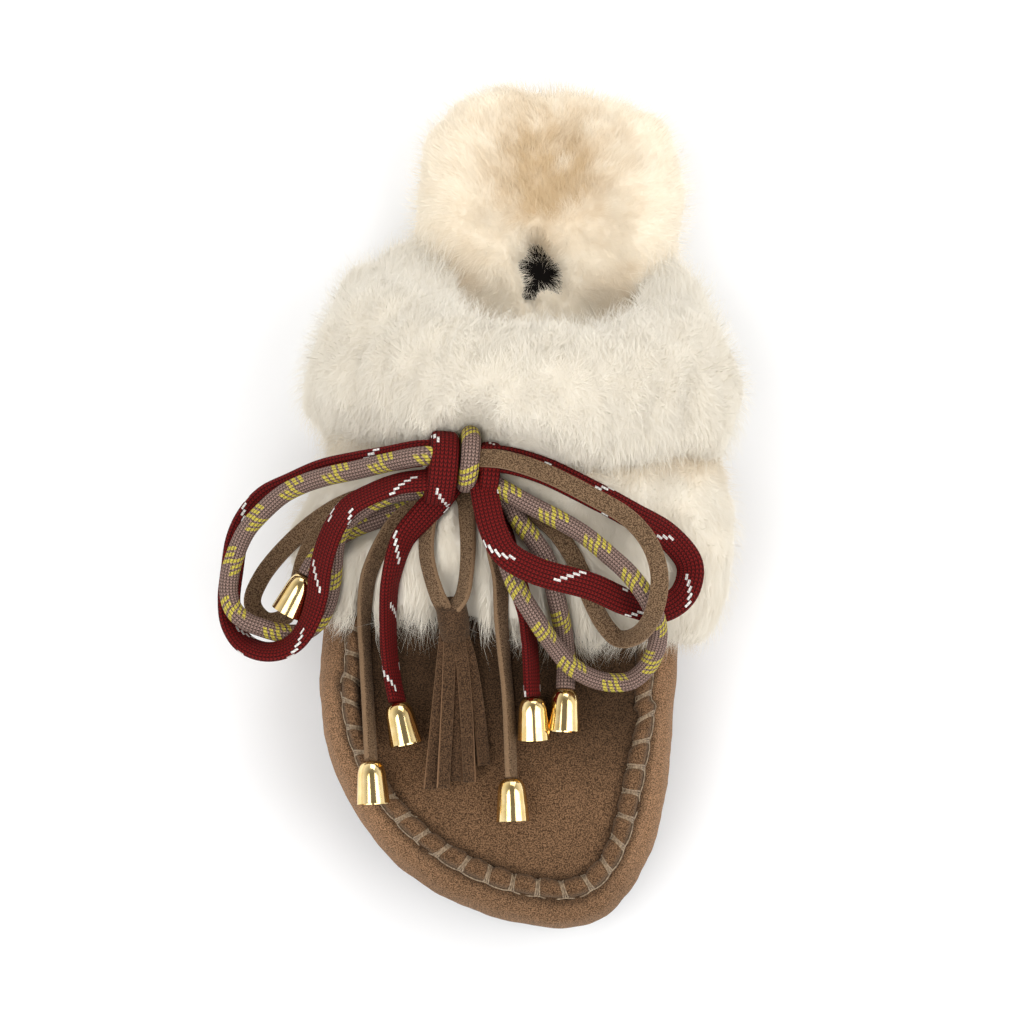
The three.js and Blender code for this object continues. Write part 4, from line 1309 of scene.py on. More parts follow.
ROUTES = {
    "burgundy_loop_left": Route(LaceKind.BURGUNDY, (
        (-25.3, -1.5, 82.5), (-37, -2.9, 76.5), (-45.7, -4, 72), (-55.3, -5.8, 67.2), (-64.1, -9.2, 62),
        (-72.1, -12.8, 56.8), (-77.1, -18.3, 52.3), (-79.7, -24.5, 49), (-80.5, -32.8, 46.5),
        (-80.7, -41.6, 45), (-79.2, -48.6, 44.5), (-75.4, -53.8, 45.5), (-69.3, -56.6, 48.5),
        (-63.3, -56.2, 51.5), (-58.8, -53.3, 54.3), (-55.7, -48, 57.3), (-54.1, -41.8, 60.2),
        (-53.6, -35.8, 64.2), (-52.2, -28.9, 69.5), (-49.7, -22.6, 73.8), (-45.9, -17.5, 77),
        (-39.8, -14, 80), (-32.5, -11.2, 82.8), (-25.5, -10.2, 85.4),
    ), (25, 40, 45, 45, 45, 40, 40, 35, 35, 30), lead=((-18, -2, 83.5),), tail=((-18, -9, 86),)),
    "taupe_loop_left": Route(LaceKind.TAUPE, (
        (-26, -3.6, 87.5), (-36.9, -5.2, 81.5), (-45.6, -7, 77), (-53.4, -8.4, 73), (-60.1, -10.3, 69.5),
        (-66.4, -13.4, 66), (-71.9, -18.2, 62.5), (-76.3, -23.3, 59), (-79.1, -29.9, 55.8),
        (-80.4, -36.1, 53.2), (-80.3, -41.2, 51.5), (-78.5, -45.4, 50.2), (-75, -48.2, 49.4),
        (-70.5, -49.6, 48.8), (-64.7, -50.6, 47.9), (-58.6, -50.2, 47.8), (-53.9, -47, 49.6),
        (-51.4, -42.2, 53), (-50.3, -36.7, 57), (-50, -31.5, 61.3), (-49.7, -26.3, 65.3),
        (-48, -21.6, 68.8), (-44.4, -18.2, 71.3), (-39.4, -14.8, 73.3), (-34.1, -12.3, 74.6),
        (-26, -10.8, 75.6),
    ), lead=((-19, -3, 86.5),), tail=((-19, -9, 78),)),
    "thong_loop_left": Route(LaceKind.THONG, (
        (-33, -9.5, 67.3), (-48, -12.5, 58.8), (-61.5, -20.5, 47.5), (-72.5, -33, 38),
        (-74.5, -40.5, 35.5), (-70, -45, 34.5), (-64.5, -43.5, 35.5), (-61.5, -35, 39.5),
        (-59.5, -27, 45), (-56, -21.5, 52),
    ), lead=((-19, -6, 77), (-26, -8, 72)), tail=((-50, -17, 57.5), (-41, -13.5, 63))),
    "burgundy_loop_right": Route(LaceKind.BURGUNDY, (
        (-6.5, -17, 86.5), (-4.5, -23, 87), (-0.5, -29.5, 86.8), (8, -33.5, 85), (24.4, -36, 80.5),
        (36, -38.5, 73), (45.5, -38.5, 68), (51.7, -33, 66), (52.8, -25, 67), (46, -18, 71),
        (34, -13.5, 77.5), (22.5, -9, 80.5), (8, -4, 83.5), (-3.4, -2.5, 86.5),
    ), lead=((-9, -5, 84), (-8, -11, 85.3)), tail=((-10, -3, 87),)),
    "taupe_loop_right": Route(LaceKind.TAUPE, (
        (-5.5, -17.5, 79.5), (-2.4, -24, 80), (2.9, -36.5, 78.5), (9.3, -45, 74), (15.2, -51, 66),
        (21.8, -56.5, 61), (30.2, -59, 57), (38.4, -58, 56), (43.5, -53, 60), (45, -46, 68),
        (41.5, -39, 78.5), (35.4, -31.8, 80), (29.3, -26.8, 80), (20.8, -21, 81), (13, -17.5, 82.5),
        (5.5, -14.5, 83.5),
    ), lead=((-9, -6, 80), (-7.5, -12, 79.6)), tail=((-1, -11.5, 84), (-8, -8, 83))),
    "thong_loop_right": Route(LaceKind.THONG, (
        (-3.4, -3.5, 90.5), (8, -5.5, 88), (22.5, -11, 86), (34, -16.5, 84), (40.5, -23.5, 83.5),
        (43.5, -33, 85.5), (42.8, -42, 82), (39, -47, 70), (33.5, -47, 62.5), (29.3, -43.5, 64.5),
        (25, -37.8, 70.5), (20.8, -29.5, 73), (17.3, -24.5, 75),
    ), lead=((-10, -3, 88),), tail=((12.5, -19, 75), (5, -14, 76), (-4, -10, 78))),
    "burgundy_end_left": Route(LaceKind.BURGUNDY, (
        (-25, -18.5, 76.5), (-30, -25, 73.5), (-32.8, -36, 68), (-33, -46, 58), (-32, -55, 52.5),
        (-30.4, -62.5, 51), (-28.5, -69, 51.5),
    ), (0, 40, 60, 62, 60), "burgundy_bell_left", lead=((-17, -8, 80), (-21, -14, 78.5))),
    "taupe_end_left": Route(LaceKind.TAUPE, (
        (-28, -14.5, 68.5), (-37, -17.5, 64.5), (-45.5, -20.8, 61), (-52.5, -25.5, 58),
        (-56, -30.6, 56.6), (-57.9, -34.6, 55.8),
    ), (0, 0), "taupe_bell_left", lead=((-17, -8, 78), (-22, -11.5, 73))),
    "thong_end_left": Route(LaceKind.THONG, (
        (-32, -19, 70), (-36, -25, 66.5), (-39.5, -34, 62), (-40.3, -45, 50.5), (-39, -56.5, 47.5),
        (-37.3, -68.5, 47.3), (-34.7, -86.5, 50.5),
    ), (0, 40, 62, 60), "thong_bell_left", lead=((-18, -9, 78), (-25, -14, 73.5))),
    "burgundy_end_right": Route(LaceKind.BURGUNDY, (
        (-2.5, -21.5, 74.5), (1.5, -31, 74), (4.5, -37.5, 73), (7, -43.5, 68.5), (8.2, -49, 62.5),
        (9.3, -56, 58.8), (10.4, -65, 57),
    ), (0, 20, 50, 62, 62), "burgundy_bell_right", lead=((-8, -8, 79), (-5.5, -15, 76.5))),
    "taupe_end_right": Route(LaceKind.TAUPE, (
        (-0.5, -13.5, 79.5), (2, -17.5, 78.5), (7.3, -23, 76.5), (11.5, -28.5, 74.5), (15, -38, 70),
        (18, -46.5, 59.5), (19.5, -54.5, 54.8), (19.8, -61.5, 54.5),
    ), (0, 0), "taupe_bell_right", lead=((-9, -7, 82), (-5, -10.5, 80.8))),
    "thong_hanger": Route(LaceKind.THONG, (
        (-19.2, -39.5, 68.3), (-23, -29, 71.3), (-23.3, -18.5, 73), (-22.3, -12, 73.6), (-17.8, -8, 73.8),
        (-13.3, -12, 73.9), (-12.2, -18.5, 74.3), (-11.2, -29, 73.3), (-12, -39.5, 68.8),
    ), (40, 50, 40, 0, -40, -50, -40), lead=((-15.9, -46, 64.5), (-17, -43, 66.6)),
       tail=((-14.2, -43, 67), (-15.1, -46, 64.8))),
    "thong_end_right": Route(LaceKind.THONG, (
        (-1.5, -34, 70.3), (-0.4, -43.5, 65), (1.4, -54, 56.5), (3.5, -66, 53.5), (6.2, -88.5, 52.5),
    ), (20, 45, 62, 62), "thong_bell_right", lead=((-7, -10, 79), (-5.5, -19, 75.5), (-3.5, -27, 73))),
}


@dataclass(frozen=True)
class Wrap:
    """One turn of a lace round the knot: an oval band from x to x, y to y and z to z."""

    node: str
    lace: LaceKind
    x: tuple[float, float]
    y: tuple[float, float]
    z: tuple[float, float]


@dataclass
class Bow:
    """The laces, their knot, their bells and the tassel."""

    step: float = 1.1
    sides: int = 20
    wraps: tuple[Wrap, ...] = (
        Wrap("burgundy_knot", LaceKind.BURGUNDY, (-24.5, -16.5), (-16.5, 5.0), (76.0, 91.0)),
        Wrap("taupe_knot", LaceKind.TAUPE, (-16.0, -10.5), (-12.5, 7.0), (77.0, 91.5)),
        Wrap("burgundy_tuck", LaceKind.BURGUNDY, (-10.0, -4.5), (-14.0, 3.0), (77.5, 89.0)),
    )
    bell_profile: tuple[Spot, ...] = (
        (0, 0), (0, 2.1), (0.25, 2.65), (0.8, 3.2), (1.7, 3.65), (3, 4.0), (6, 4.3), (9, 4.55), (12.2, 4.8),
        (12.2, 4.3), (9.5, 4.0), (9.5, 0),
    )
    bell_faces: tuple[tuple[int, int], ...] = ((0, 1), (1, 8), (8, 9), (9, 10), (10, 11))
    bell_dip: float = 0.09
    bell_sides: int = 48
    knot_sides: int = 64
    knot_columns: int = 18
    knot_lean: float = 0.8
    tassel_top: Point = (-15.4, -41.5, 66.5)
    tassel_head: float = 11.0
    tassel_core: float = 1.6
    tassel_radius: float = 5.0
    tassel_turns: float = 2.6
    tassel_leather: float = 1.2
    tassel_strips: int = 5
    tassel_width: float = 3.7
    tassel_thick: float = 1.8
    tassel_spread: float = 15.0
    tassel_uneven: float = 3.0
    tassel_lift: float = 2.0
    tassel_middle: tuple[Point, ...] = (
        (-14, -47, 61), (-12.5, -56, 55.5), (-11, -70, 51.5), (-9.5, -89, 49),
    )

    def paths(self) -> dict[str, Array]:
        """The middle line of each strand."""
        return {name: through(r.lead + r.points + r.tail, self.step) for name, r in ROUTES.items()}

    def strand(self, maker: MeshMaker, path: Array, lace: Lace, turns: Sequence[float]) -> None:
        """Sweep a lace along a path.

        Args:
            maker: What it is added to.
            path: Its middle line.
            lace: Its section.
            turns: How it is rolled, in degrees, at even distances along it.
        """
        roll = np.interp(np.linspace(0, 1, len(path)), np.linspace(0, 1, len(turns)), turns)
        outline, round_it = lace.ring(self.sides)
        blank = np.zeros((len(path), self.sides, 3))
        edges = smoothstep(np.abs(outline[:, 0]) / lace.width, 0.45, 0.495)
        maker.sweep(path, outline, roll, looks(blank, distances(path)[:, None], round_it[None], edges[None]))

    def build(self, finishes: dict[LaceKind, Material], gold: Material) -> None:
        """Args:
            finishes: A finish for each lace.
            gold: The bells' finish.
        """
        for name, path in self.paths().items():
            route = ROUTES[name]
            lace = LACES[route.lace]
            maker = MeshMaker()
            self.strand(maker, path, lace, route.turns)
            made = declare(maker.build(f"lace_{name}", [finishes[route.lace]]), name)
            bells = [self._bell(route.bell, path, gold)] if route.bell else []

    def _bell(self, name: str, path: Array, gold: Material) -> Piece:
        """Turn a bell on the end of a strand.

        Args:
            name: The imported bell.
            path: The strand's middle line.
            gold: The finish.

        Returns:
            The piece.
        """
        forward = unit(path[-1] - path[-2])
        forward[2] = min(forward[2], 0.0) - self.bell_dip
        forward = unit(forward)
        ring = ring_about(forward, full_turn(self.bell_sides))
        start = path[-1] + forward * LAST.gap
        maker = MeshMaker()
        for first, last in self.bell_faces:
            part = np.array(self.bell_profile[first : last + 1])
            if last - first > 1:
                part = through(np.pad(part, ((0, 0), (0, 1))), 0.5)[:, :2]
            points = start + part[:, None, :1] * forward + part[:, None, 1:] * ring[None]
            maker.grid(points, wrap=True, flip=True)
        return declare(maker.build(f"gold_{name}", [gold]), name)

    def knot(self, finishes: dict[LaceKind, Material]) -> None:
        """Build the three wraps of the knot.

        Args:
            finishes: A finish for each lace.
        """
        angle = full_turn(self.knot_sides)
        across = np.linspace(0.0, 1.0, self.knot_columns)
        for wrap in self.wraps:
            lace = LACES[wrap.lace]
            y, z = np.mean(wrap.y), np.mean(wrap.z)
            half = np.array([np.ptp(wrap.y), np.ptp(wrap.z)]) / 2
            roundness = 2.2 if wrap.lace is LaceKind.TAUPE else 4.0
            crown = (1.0 - np.abs(2.0 * across - 1.0) ** roundness) ** 0.5
            rows = []
            for share, swell in zip(across, crown):
                wide, tall = half - lace.thick * 0.5 * (1.0 - swell)
                x = lerp(*wrap.x, share) + self.knot_lean * np.sin(angle)
                rows.append(np.stack([x, y + wide * np.cos(angle), z + tall * np.sin(angle)], 1))
            points = np.array(rows)
            look = looks(points, (angle * half.mean())[None], lerp(*wrap.x, across)[:, None])
            maker = MeshMaker()
            maker.grid(points, look, wrap=True, caps=True)
            declare(maker.build(f"wrapped_{wrap.node}", [finishes[wrap.lace]]), wrap.node)

    def tassel(self, finish: Material) -> None:
        """Build the cut tassel with its rolled head.

        Args:
            finish: The suede.
        """
        maker = MeshMaker()
        self._head(maker)
        strip = Lace(self.tassel_width, self.tassel_thick, 5.0, "tassel_suede")
        for i in range(self.tassel_strips):
            share = i / (self.tassel_strips - 1) - 0.5
            uneven = self.tassel_uneven * (self._chance(i) - 0.5)
            lift = self.tassel_lift * (i % 2)
            route = []
            for k, (x, y, z) in enumerate(self.tassel_middle):
                opened = (k + 1) / len(self.tassel_middle)
                route.append((x + share * self.tassel_spread * opened, y + uneven * k, z + lift * opened))
            turns = (0.0, 12.0 * math.sin(2.1 * i), 26.0 * math.sin(1.7 * i + 0.6))
            self.strand(maker, through(route, 1.6), strip, turns)
        declare(maker.build("cut_tassel", [finish]), "tassel")

    @staticmethod
    def _chance(i: int) -> float:
        """A scattered number from 0 to 1, always the same for the same strip."""
        wave = math.sin(i * 12.9898 + 2 * 78.233) * 43758.5453
        return wave - math.floor(wave)

    def _head(self, maker: MeshMaker) -> None:
        """Add the tassel's head: a strip of suede rolled up on itself."""
        top = np.array(self.tassel_top)
        way = unit(np.array(self.tassel_middle[0]) - top)
        angle = np.linspace(0.0, self.tassel_turns * 2.0 * np.pi, 110)
        ring = ring_about(way, angle)
        spiral = lerp(self.tassel_core, self.tassel_radius, angle / angle[-1])
        rows = []
        for share in np.linspace(0.0, 1.0, 14):
            reach = spiral * (0.94 + 0.06 * math.sin(math.pi * share))
            rows.append(top + way * (self.tassel_head * share) + ring * reach[:, None])
        roll = np.array(rows)
        axis = top + way * np.sum((roll - top) * way, axis=2)[..., None]
        inner = roll - unit(roll - axis) * self.tassel_leather
        maker.grid(roll)
        maker.grid(inner, flip=True)
        maker.grid(np.stack([inner[0], roll[0]]))
        maker.grid(np.stack([roll[-1], inner[-1]]))
        maker.grid(np.stack([roll[:, -1], inner[:, -1]], axis=1))


@dataclass
class Pressed:
    """How low the bow lies over each place, so that wool gives way under it and no hair crosses it."""

    bow: Bow
    cell: float = 0.5
    low: tuple[float, float] = (-105.0, -115.0)
    cells: tuple[int, int] = (400, 330)
    slope: float = 1.5
    soft: float = 5.0
    deepest: float = 15.0
    bell_half: tuple[float, float] = (4.4, 4.0)
    tassel_half: tuple[float, float] = (7.0, 2.5)
    under: Array = field(init=False)
    kept: Array = field(init=False)

    def __post_init__(self) -> None:
        """Mark the underside of each strand, wrap and bell, and of the tassel."""
        self.under = np.full(self.cells, np.inf)
        self.kept = np.full(self.cells, np.inf)
        for name, path in self.bow.paths().items():
            route = ROUTES[name]
            lace = LACES[route.lace]
            self._mark(path, lace.width / 2, lace.thick / 2)
            if route.bell:
                reach = np.linspace(0.0, self.bow.bell_profile[-1][0] + 2.5, 12)[:, None]
                self._mark(path[-1] + unit(path[-1] - path[-2]) * reach, *self.bell_half)
        for wrap in self.bow.wraps:
            half = (np.ptp(wrap.y) - np.ptp(wrap.x)) / 2
            across = np.linspace(-0.98, 0.98, 30)
            low = np.mean(wrap.z) - np.ptp(wrap.z) / 2 * np.sqrt(1.0 - across**2)
            x = np.full(len(across), np.mean(wrap.x))
            path = np.stack([x, np.mean(wrap.y) + half * across, low], axis=1)
            self._mark(path, np.ptp(wrap.x) / 2, 0.0)
        hanging = through((self.bow.tassel_top, *self.bow.tassel_middle), 2.0)
        self._mark(hanging, *self.tassel_half)

    def _mark(self, path: Array, wide: float, deep: float) -> None:
        """Mark a strand on the map.

        Args:
            path: Its middle line.
            wide: Half its width.
            deep: Half its thickness.
        """
        reach = int((wide + self.soft) / self.cell) + 1
        span = np.arange(-reach, reach + 1)
        far = np.hypot(*np.meshgrid(span, span, indexing="ij")) * self.cell
        sloping = np.where(far <= wide + self.soft, self.slope * np.maximum(far - wide, 0.0), np.inf)
        sheer = np.where(far <= wide + 0.4, 0.0, np.inf)
        for x, y, z in path:
            i = int((x - self.low[0]) / self.cell)
            j = int((y - self.low[1]) / self.cell)
            if min(i, j) < reach or i + reach >= self.cells[0] or j + reach >= self.cells[1]:
                continue
            area = (slice(i - reach, i + reach + 1), slice(j - reach, j + reach + 1))
            self.under[area] = np.minimum(self.under[area], z - deep + sloping)
            self.kept[area] = np.minimum(self.kept[area], z - deep + sheer)

    def _at(self, marked: Array, points: Array) -> Array:
        """The map's height at each point."""
        i = np.clip(((points[..., 0] - self.low[0]) / self.cell).astype(int), 0, self.cells[0] - 1)
        j = np.clip(((points[..., 1] - self.low[1]) / self.cell).astype(int), 0, self.cells[1] - 1)
        return marked[i, j]

    def depth(self, points: Array, room: float) -> Array:
        """How far each point has to sink to lie under the bow with some room."""
        return np.clip(points[..., 2] - self._at(self.under, points) + room, 0.0, self.deepest)

    def blocked(self, points: Array) -> Array:
        """Whether each point lies in the bow or above it."""
        return points[..., 2] > self._at(self.kept, points) - 0.1


# Wool

@dataclass
class Ground:
    """A wool body that hair grows on.

    It has points, directions out of it, how tan the wool is, how dense, how it is combed and how long it is,
    as a factor.
    """

    points: Array
    normals: Array
    tone: Array
    weight: Array
    lean: Array
    reach: Array

    def close(self, maker: MeshMaker, under: Array) -> None:
        """Add the body itself, closed by columns of points under it.

        Args:
            maker: What it is added to.
            under: The columns, one row for each row of the body.
        """
        # The body counts as halfway up the hair, so it takes half the painted shade of the roots.
        look = looks(self.points, self.tone, 0.5)
        ring = np.concatenate([self.points, under], axis=1)
        ring_look = np.concatenate([look, look[:, : under.shape[1]]], axis=1)
        maker.grid(ring, ring_look, wrap=True, flip=True, caps=True)


@dataclass(frozen=True)
class Fleece:
    """Soft, dense plush, combed over its body, with loose hairs that stand out of it."""

    count: int
    length: float
    width: float = 0.135
    wander: float = 0.24
    curl: float = 17.0
    stray: float = 0.2
    rise: float = 0.25
    loose: float = 0.2
    loose_rise: float = 1.3
    loose_length: float = 0.7
    loose_width: float = 0.55
    stub: float = 0.3
    stub_longest: float = 5.0
    seed: int = 1

    def grow(self, maker: MeshMaker, ground: Ground, pressed: Optional[Pressed] = None) -> None:
        """Grow hair on a body.

        Args:
            maker: What the hair is added to.
            ground: The body.
            pressed: The laces that the hair keeps off.
        """
        rng = np.random.default_rng(self.seed)
        root, normal, tone, lean, reach = self._sow(ground, rng)
        swirl = np.stack([Ripple(self.curl, self.seed + k)(root) for k in (11, 12, 13)], axis=1)
        flow = lean + self.wander * swirl + self.stray * rng.normal(size=root.shape)
        flow = unit(flow - np.sum(flow * normal, axis=1)[:, None] * normal)
        stands = rng.uniform(size=len(root)) < self.loose
        rise = np.where(stands, self.loose_rise, self.rise) * rng.uniform(0.5, 1.3, len(root))
        length = self.length * reach * (1.0 + 0.1 * Ripple(9.0, self.seed + 20)(root))
        longer = np.where(stands, 1.0 + self.loose_length / np.maximum(reach, 1.0) ** 2, 1.0)
        length = length * rng.uniform(0.55, 1.2, len(root)) * longer
        middle = root + unit(1.6 * rise[:, None] * normal + flow) * (0.5 * length)[:, None]
        tip = middle + unit(0.5 * rise[:, None] * normal + flow) * (0.5 * length)[:, None]
        if pressed is not None:
            stopped = pressed.blocked(tip) | pressed.blocked(middle)
            short = normal * (self.stub * np.minimum(length, self.stub_longest))[:, None]
            middle = np.where(stopped[:, None], root + 0.5 * short, middle)
            tip = np.where(stopped[:, None], root + short, tip)
            clear = ~pressed.blocked(tip)
            root, middle, tip, normal, tone = (each[clear] for each in (root, middle, tip, normal, tone))
            stands = stands[clear]
        wide = self.width * rng.uniform(0.55, 1.1, len(root)) * np.where(stands, self.loose_width, 1.0)
        self._ribbons(maker, np.stack([root, middle, tip, normal], axis=1), tone, wide, rng)

    def _sow(self, ground: Ground, rng: np.random.Generator) -> tuple[Array, ...]:
        """Scatter roots evenly over a body.

        Args:
            ground: The body.
            rng: Source of chance.

        Returns:
            Roots, directions out of the body, tones, leans and lengths.
        """
        p = ground.points
        area = np.linalg.norm(np.cross(p[1:, :-1] - p[:-1, :-1], p[:-1, 1:] - p[:-1, :-1]), axis=2)
        area = area * 0.5 * (ground.weight[:-1, :-1] + ground.weight[1:, 1:])
        chosen = rng.choice(area.size, self.count, p=(area / area.sum()).ravel())
        row, column = np.unravel_index(chosen, area.shape)
        u, v = rng.uniform(size=(2, self.count))

        def at(values: Array) -> Array:
            """Values between the corners of the chosen faces."""
            a, b = (u, v) if values.ndim == 2 else (u[:, None], v[:, None])
            low = lerp(values[row, column], values[row + 1, column], a)
            return lerp(low, lerp(values[row, column + 1], values[row + 1, column + 1], a), b)

        return at(p), unit(at(ground.normals)), at(ground.tone), at(ground.lean), at(ground.reach)

    @staticmethod
    def _ribbons(
        maker: MeshMaker, hair: Array, tone: Array, wide: Array, rng: np.random.Generator
    ) -> None:
        """Add each hair as a thin ribbon that faces out of the wool and narrows to its tip.

        Args:
            maker: What the hair is added to.
            hair: Root, bend, tip and the direction out of the body, for each hair.
            tone: How tan each hair is.
            wide: How wide each hair is.
            rng: Source of chance.
        """
        root, middle, tip, normal = hair.transpose(1, 0, 2)
        count = len(root)
        way = unit(tip - root)
        outward = normal + np.array([0.0, 0.0, 0.6]) + 0.12 * rng.normal(size=root.shape)
        across = unit(np.cross(way, outward)) * (0.5 * wide[:, None])
        bend = 0.8 * across
        points = np.stack([root - across, root + across, middle + bend, middle - bend, tip], axis=1)
        facing = unit(np.cross(across, way))
        shaded = unit(normal + 0.3 * facing + 0.03 * rng.normal(size=root.shape))
        # How far up the hair each point is, which sets its painted shade towards the root.
        up = np.array([0.0, 0.0, 0.6, 0.6, 1.0])
        look = looks(points, tone[:, None], up[None], rng.uniform(size=count)[:, None])
        start = np.arange(count)[:, None] * 5
        faces = [start + np.array([[0, 1, 2, 3]]), start + np.array([[3, 2, 4]])]
        maker.add(points, faces, look, normals=np.repeat(shaded[:, None], 5, axis=1))


@dataclass(frozen=True)
class Station:
    """A place on the upper that a roll of wool crosses.

    It has the directions out of the upper and across the roll, and the roll's thickness and half width there.
    """

    place: Array
    out: Array
    across: Array
    thick: float
    half: float


@dataclass
class WoolBand:
    """A roll of wool that lies over the upper from side to side."""

    name: str
    node: str
    throat: Spot
    waist: Spot
    start: float
    thick: Point
    fleeces: tuple[Fleece, ...]
    fan: float = 0.9
    combed: float = 0.25
    fringe: float = 1.25
    tan: float = 0.06
    # How much painted shade tans the back edge of the roll.
    crease_shade: float = 0.0
    ruffle: float = 0.0
    flat: float = 1.0
    tuck: float = 0.0
    sunk: float = -1.4
    buried: float = 1.5
    thinnest: float = 0.6
    fullness: float = 2.5
    stations: int = 150
    arc: int = 34

    def _stations(self) -> list[Station]:
        """The stations from the outer side to the inner side."""
        found = []
        for way in np.linspace(-1.0, 1.0, self.stations):
            over = lerp(1.0, self.start, abs(way))
            sign = -1 if way <= 0 else 1
            fall = (1.0 - over) ** LAST.bend
            front = lerp(self.throat[0], self.waist[0], fall)
            back = lerp(self.throat[1], self.waist[1], fall**self.flat)
            y = (front + back) / 2
            across = unit(LAST.on_upper(sign, y + 2, over) - LAST.on_upper(sign, y - 2, over))
            low = LAST.on_upper(sign, y, max(over - 0.06, 0.0))
            high = LAST.on_upper(sign, y, min(over + 0.06, 1.0))
            along = (high - low) * -sign
            if over > 0.97:
                along = np.array([1.0, 0.0, 0.0])
            out = unit(np.cross(along, across))
            taper = math.sqrt(max(0.0, 1.0 - np.clip((abs(way) - 0.86) / 0.15, 0, 1) ** 2))
            thick = lerp(self.thick[1], self.thick[0] if way < 0 else self.thick[2], abs(way)) * taper
            half = (back - front) / 2 / math.hypot(across[0], across[1])
            found.append(Station(LAST.on_upper(sign, y, over), out, across, thick, half))
        return found

    def _body(self) -> tuple[Array, Array, Array, Array, Array]:
        """The face of the roll, its underside, and how its hair is combed, how long and how tan it is."""
        stations = self._stations()
        place = softened(np.array([each.place for each in stations]), 6)
        out = unit(softened(np.array([each.out for each in stations]), 6))
        across = unit(softened(np.array([each.across for each in stations]), 6))
        thick = np.array([each.thick for each in stations]) - self.sunk
        half = np.array([each.half for each in stations]) - self.sunk
        angle = np.linspace(-self.tuck, np.pi, self.arc)
        c = np.cos(angle)
        wide, tall = oval(angle, self.fullness)
        u = half[:, None] * wide[None]
        v = np.maximum(thick, self.thinnest)[:, None] * tall[None]
        face = place[:, None] + u[..., None] * across[:, None] + v[..., None] * out[:, None]
        down = self.buried * out
        middle = place + (0.8 * half)[:, None] * across - down
        base = np.stack([face[:, -1] - down, middle, face[:, 0] - 0.2 * down], axis=1)
        lean = (self.fan * c - self.combed)[None, :, None] * across[:, None]
        longer = self.fringe * smoothstep(-c, 0.62, 0.97)
        inner = 1.0 - smoothstep(np.abs(np.linspace(-1.0, 1.0, self.stations)), 0.7, 0.95)
        reach = 1.0 + inner[:, None] * longer[None] + 0.6 * smoothstep(c, 0.5, 0.95)[None]
        # Painted shade: the back edge, which the cuff overhangs on the tongue, is painted tanner.
        tone = self.tan + self.crease_shade * smoothstep(c, 0.35, 0.95)
        return face, base, lean, reach, np.tile(tone, (len(face), 1))

    def build(self, finish: Material, pressed: Pressed) -> None:
        """Build the roll with its hair.

        Args:
            finish: The wool.
            pressed: The laces that lie on it.
        """
        face, base, lean, reach, tone = self._body()
        normals = -grid_normals(face)
        front = smoothstep(-np.cos(np.linspace(-self.tuck, np.pi, self.arc)), 0.1, 0.6)
        tousled = front[None] * np.exp(-(((face[..., 0] + 8.0) / 38.0) ** 2))
        uneven = 1.1 * Ripple(34.0, 2)(face) + 0.6 * Ripple(13.0, 3)(face)
        uneven = uneven + self.ruffle * tousled * Ripple(7.5, 5)(face)
        face = face + normals * uneven[..., None]
        reach = reach * (1.0 + 0.5 * tousled)
        face[..., 2] -= pressed.depth(face, 0.4)
        normals = -grid_normals(face)
        lean[..., 2] -= 0.1
        even = np.ones(face.shape[:2])
        ground = Ground(face, normals, tone, even, lean, reach)
        for i, fleece in enumerate(self.fleeces):
            maker = MeshMaker()
            if i == 0:
                ground.close(maker, base)
            fleece.grow(maker, ground, pressed)
            made = maker.build(self.name if i == 0 else f"{self.name}_hair", [finish])
            declare(made, self.node if i == 0 else None)


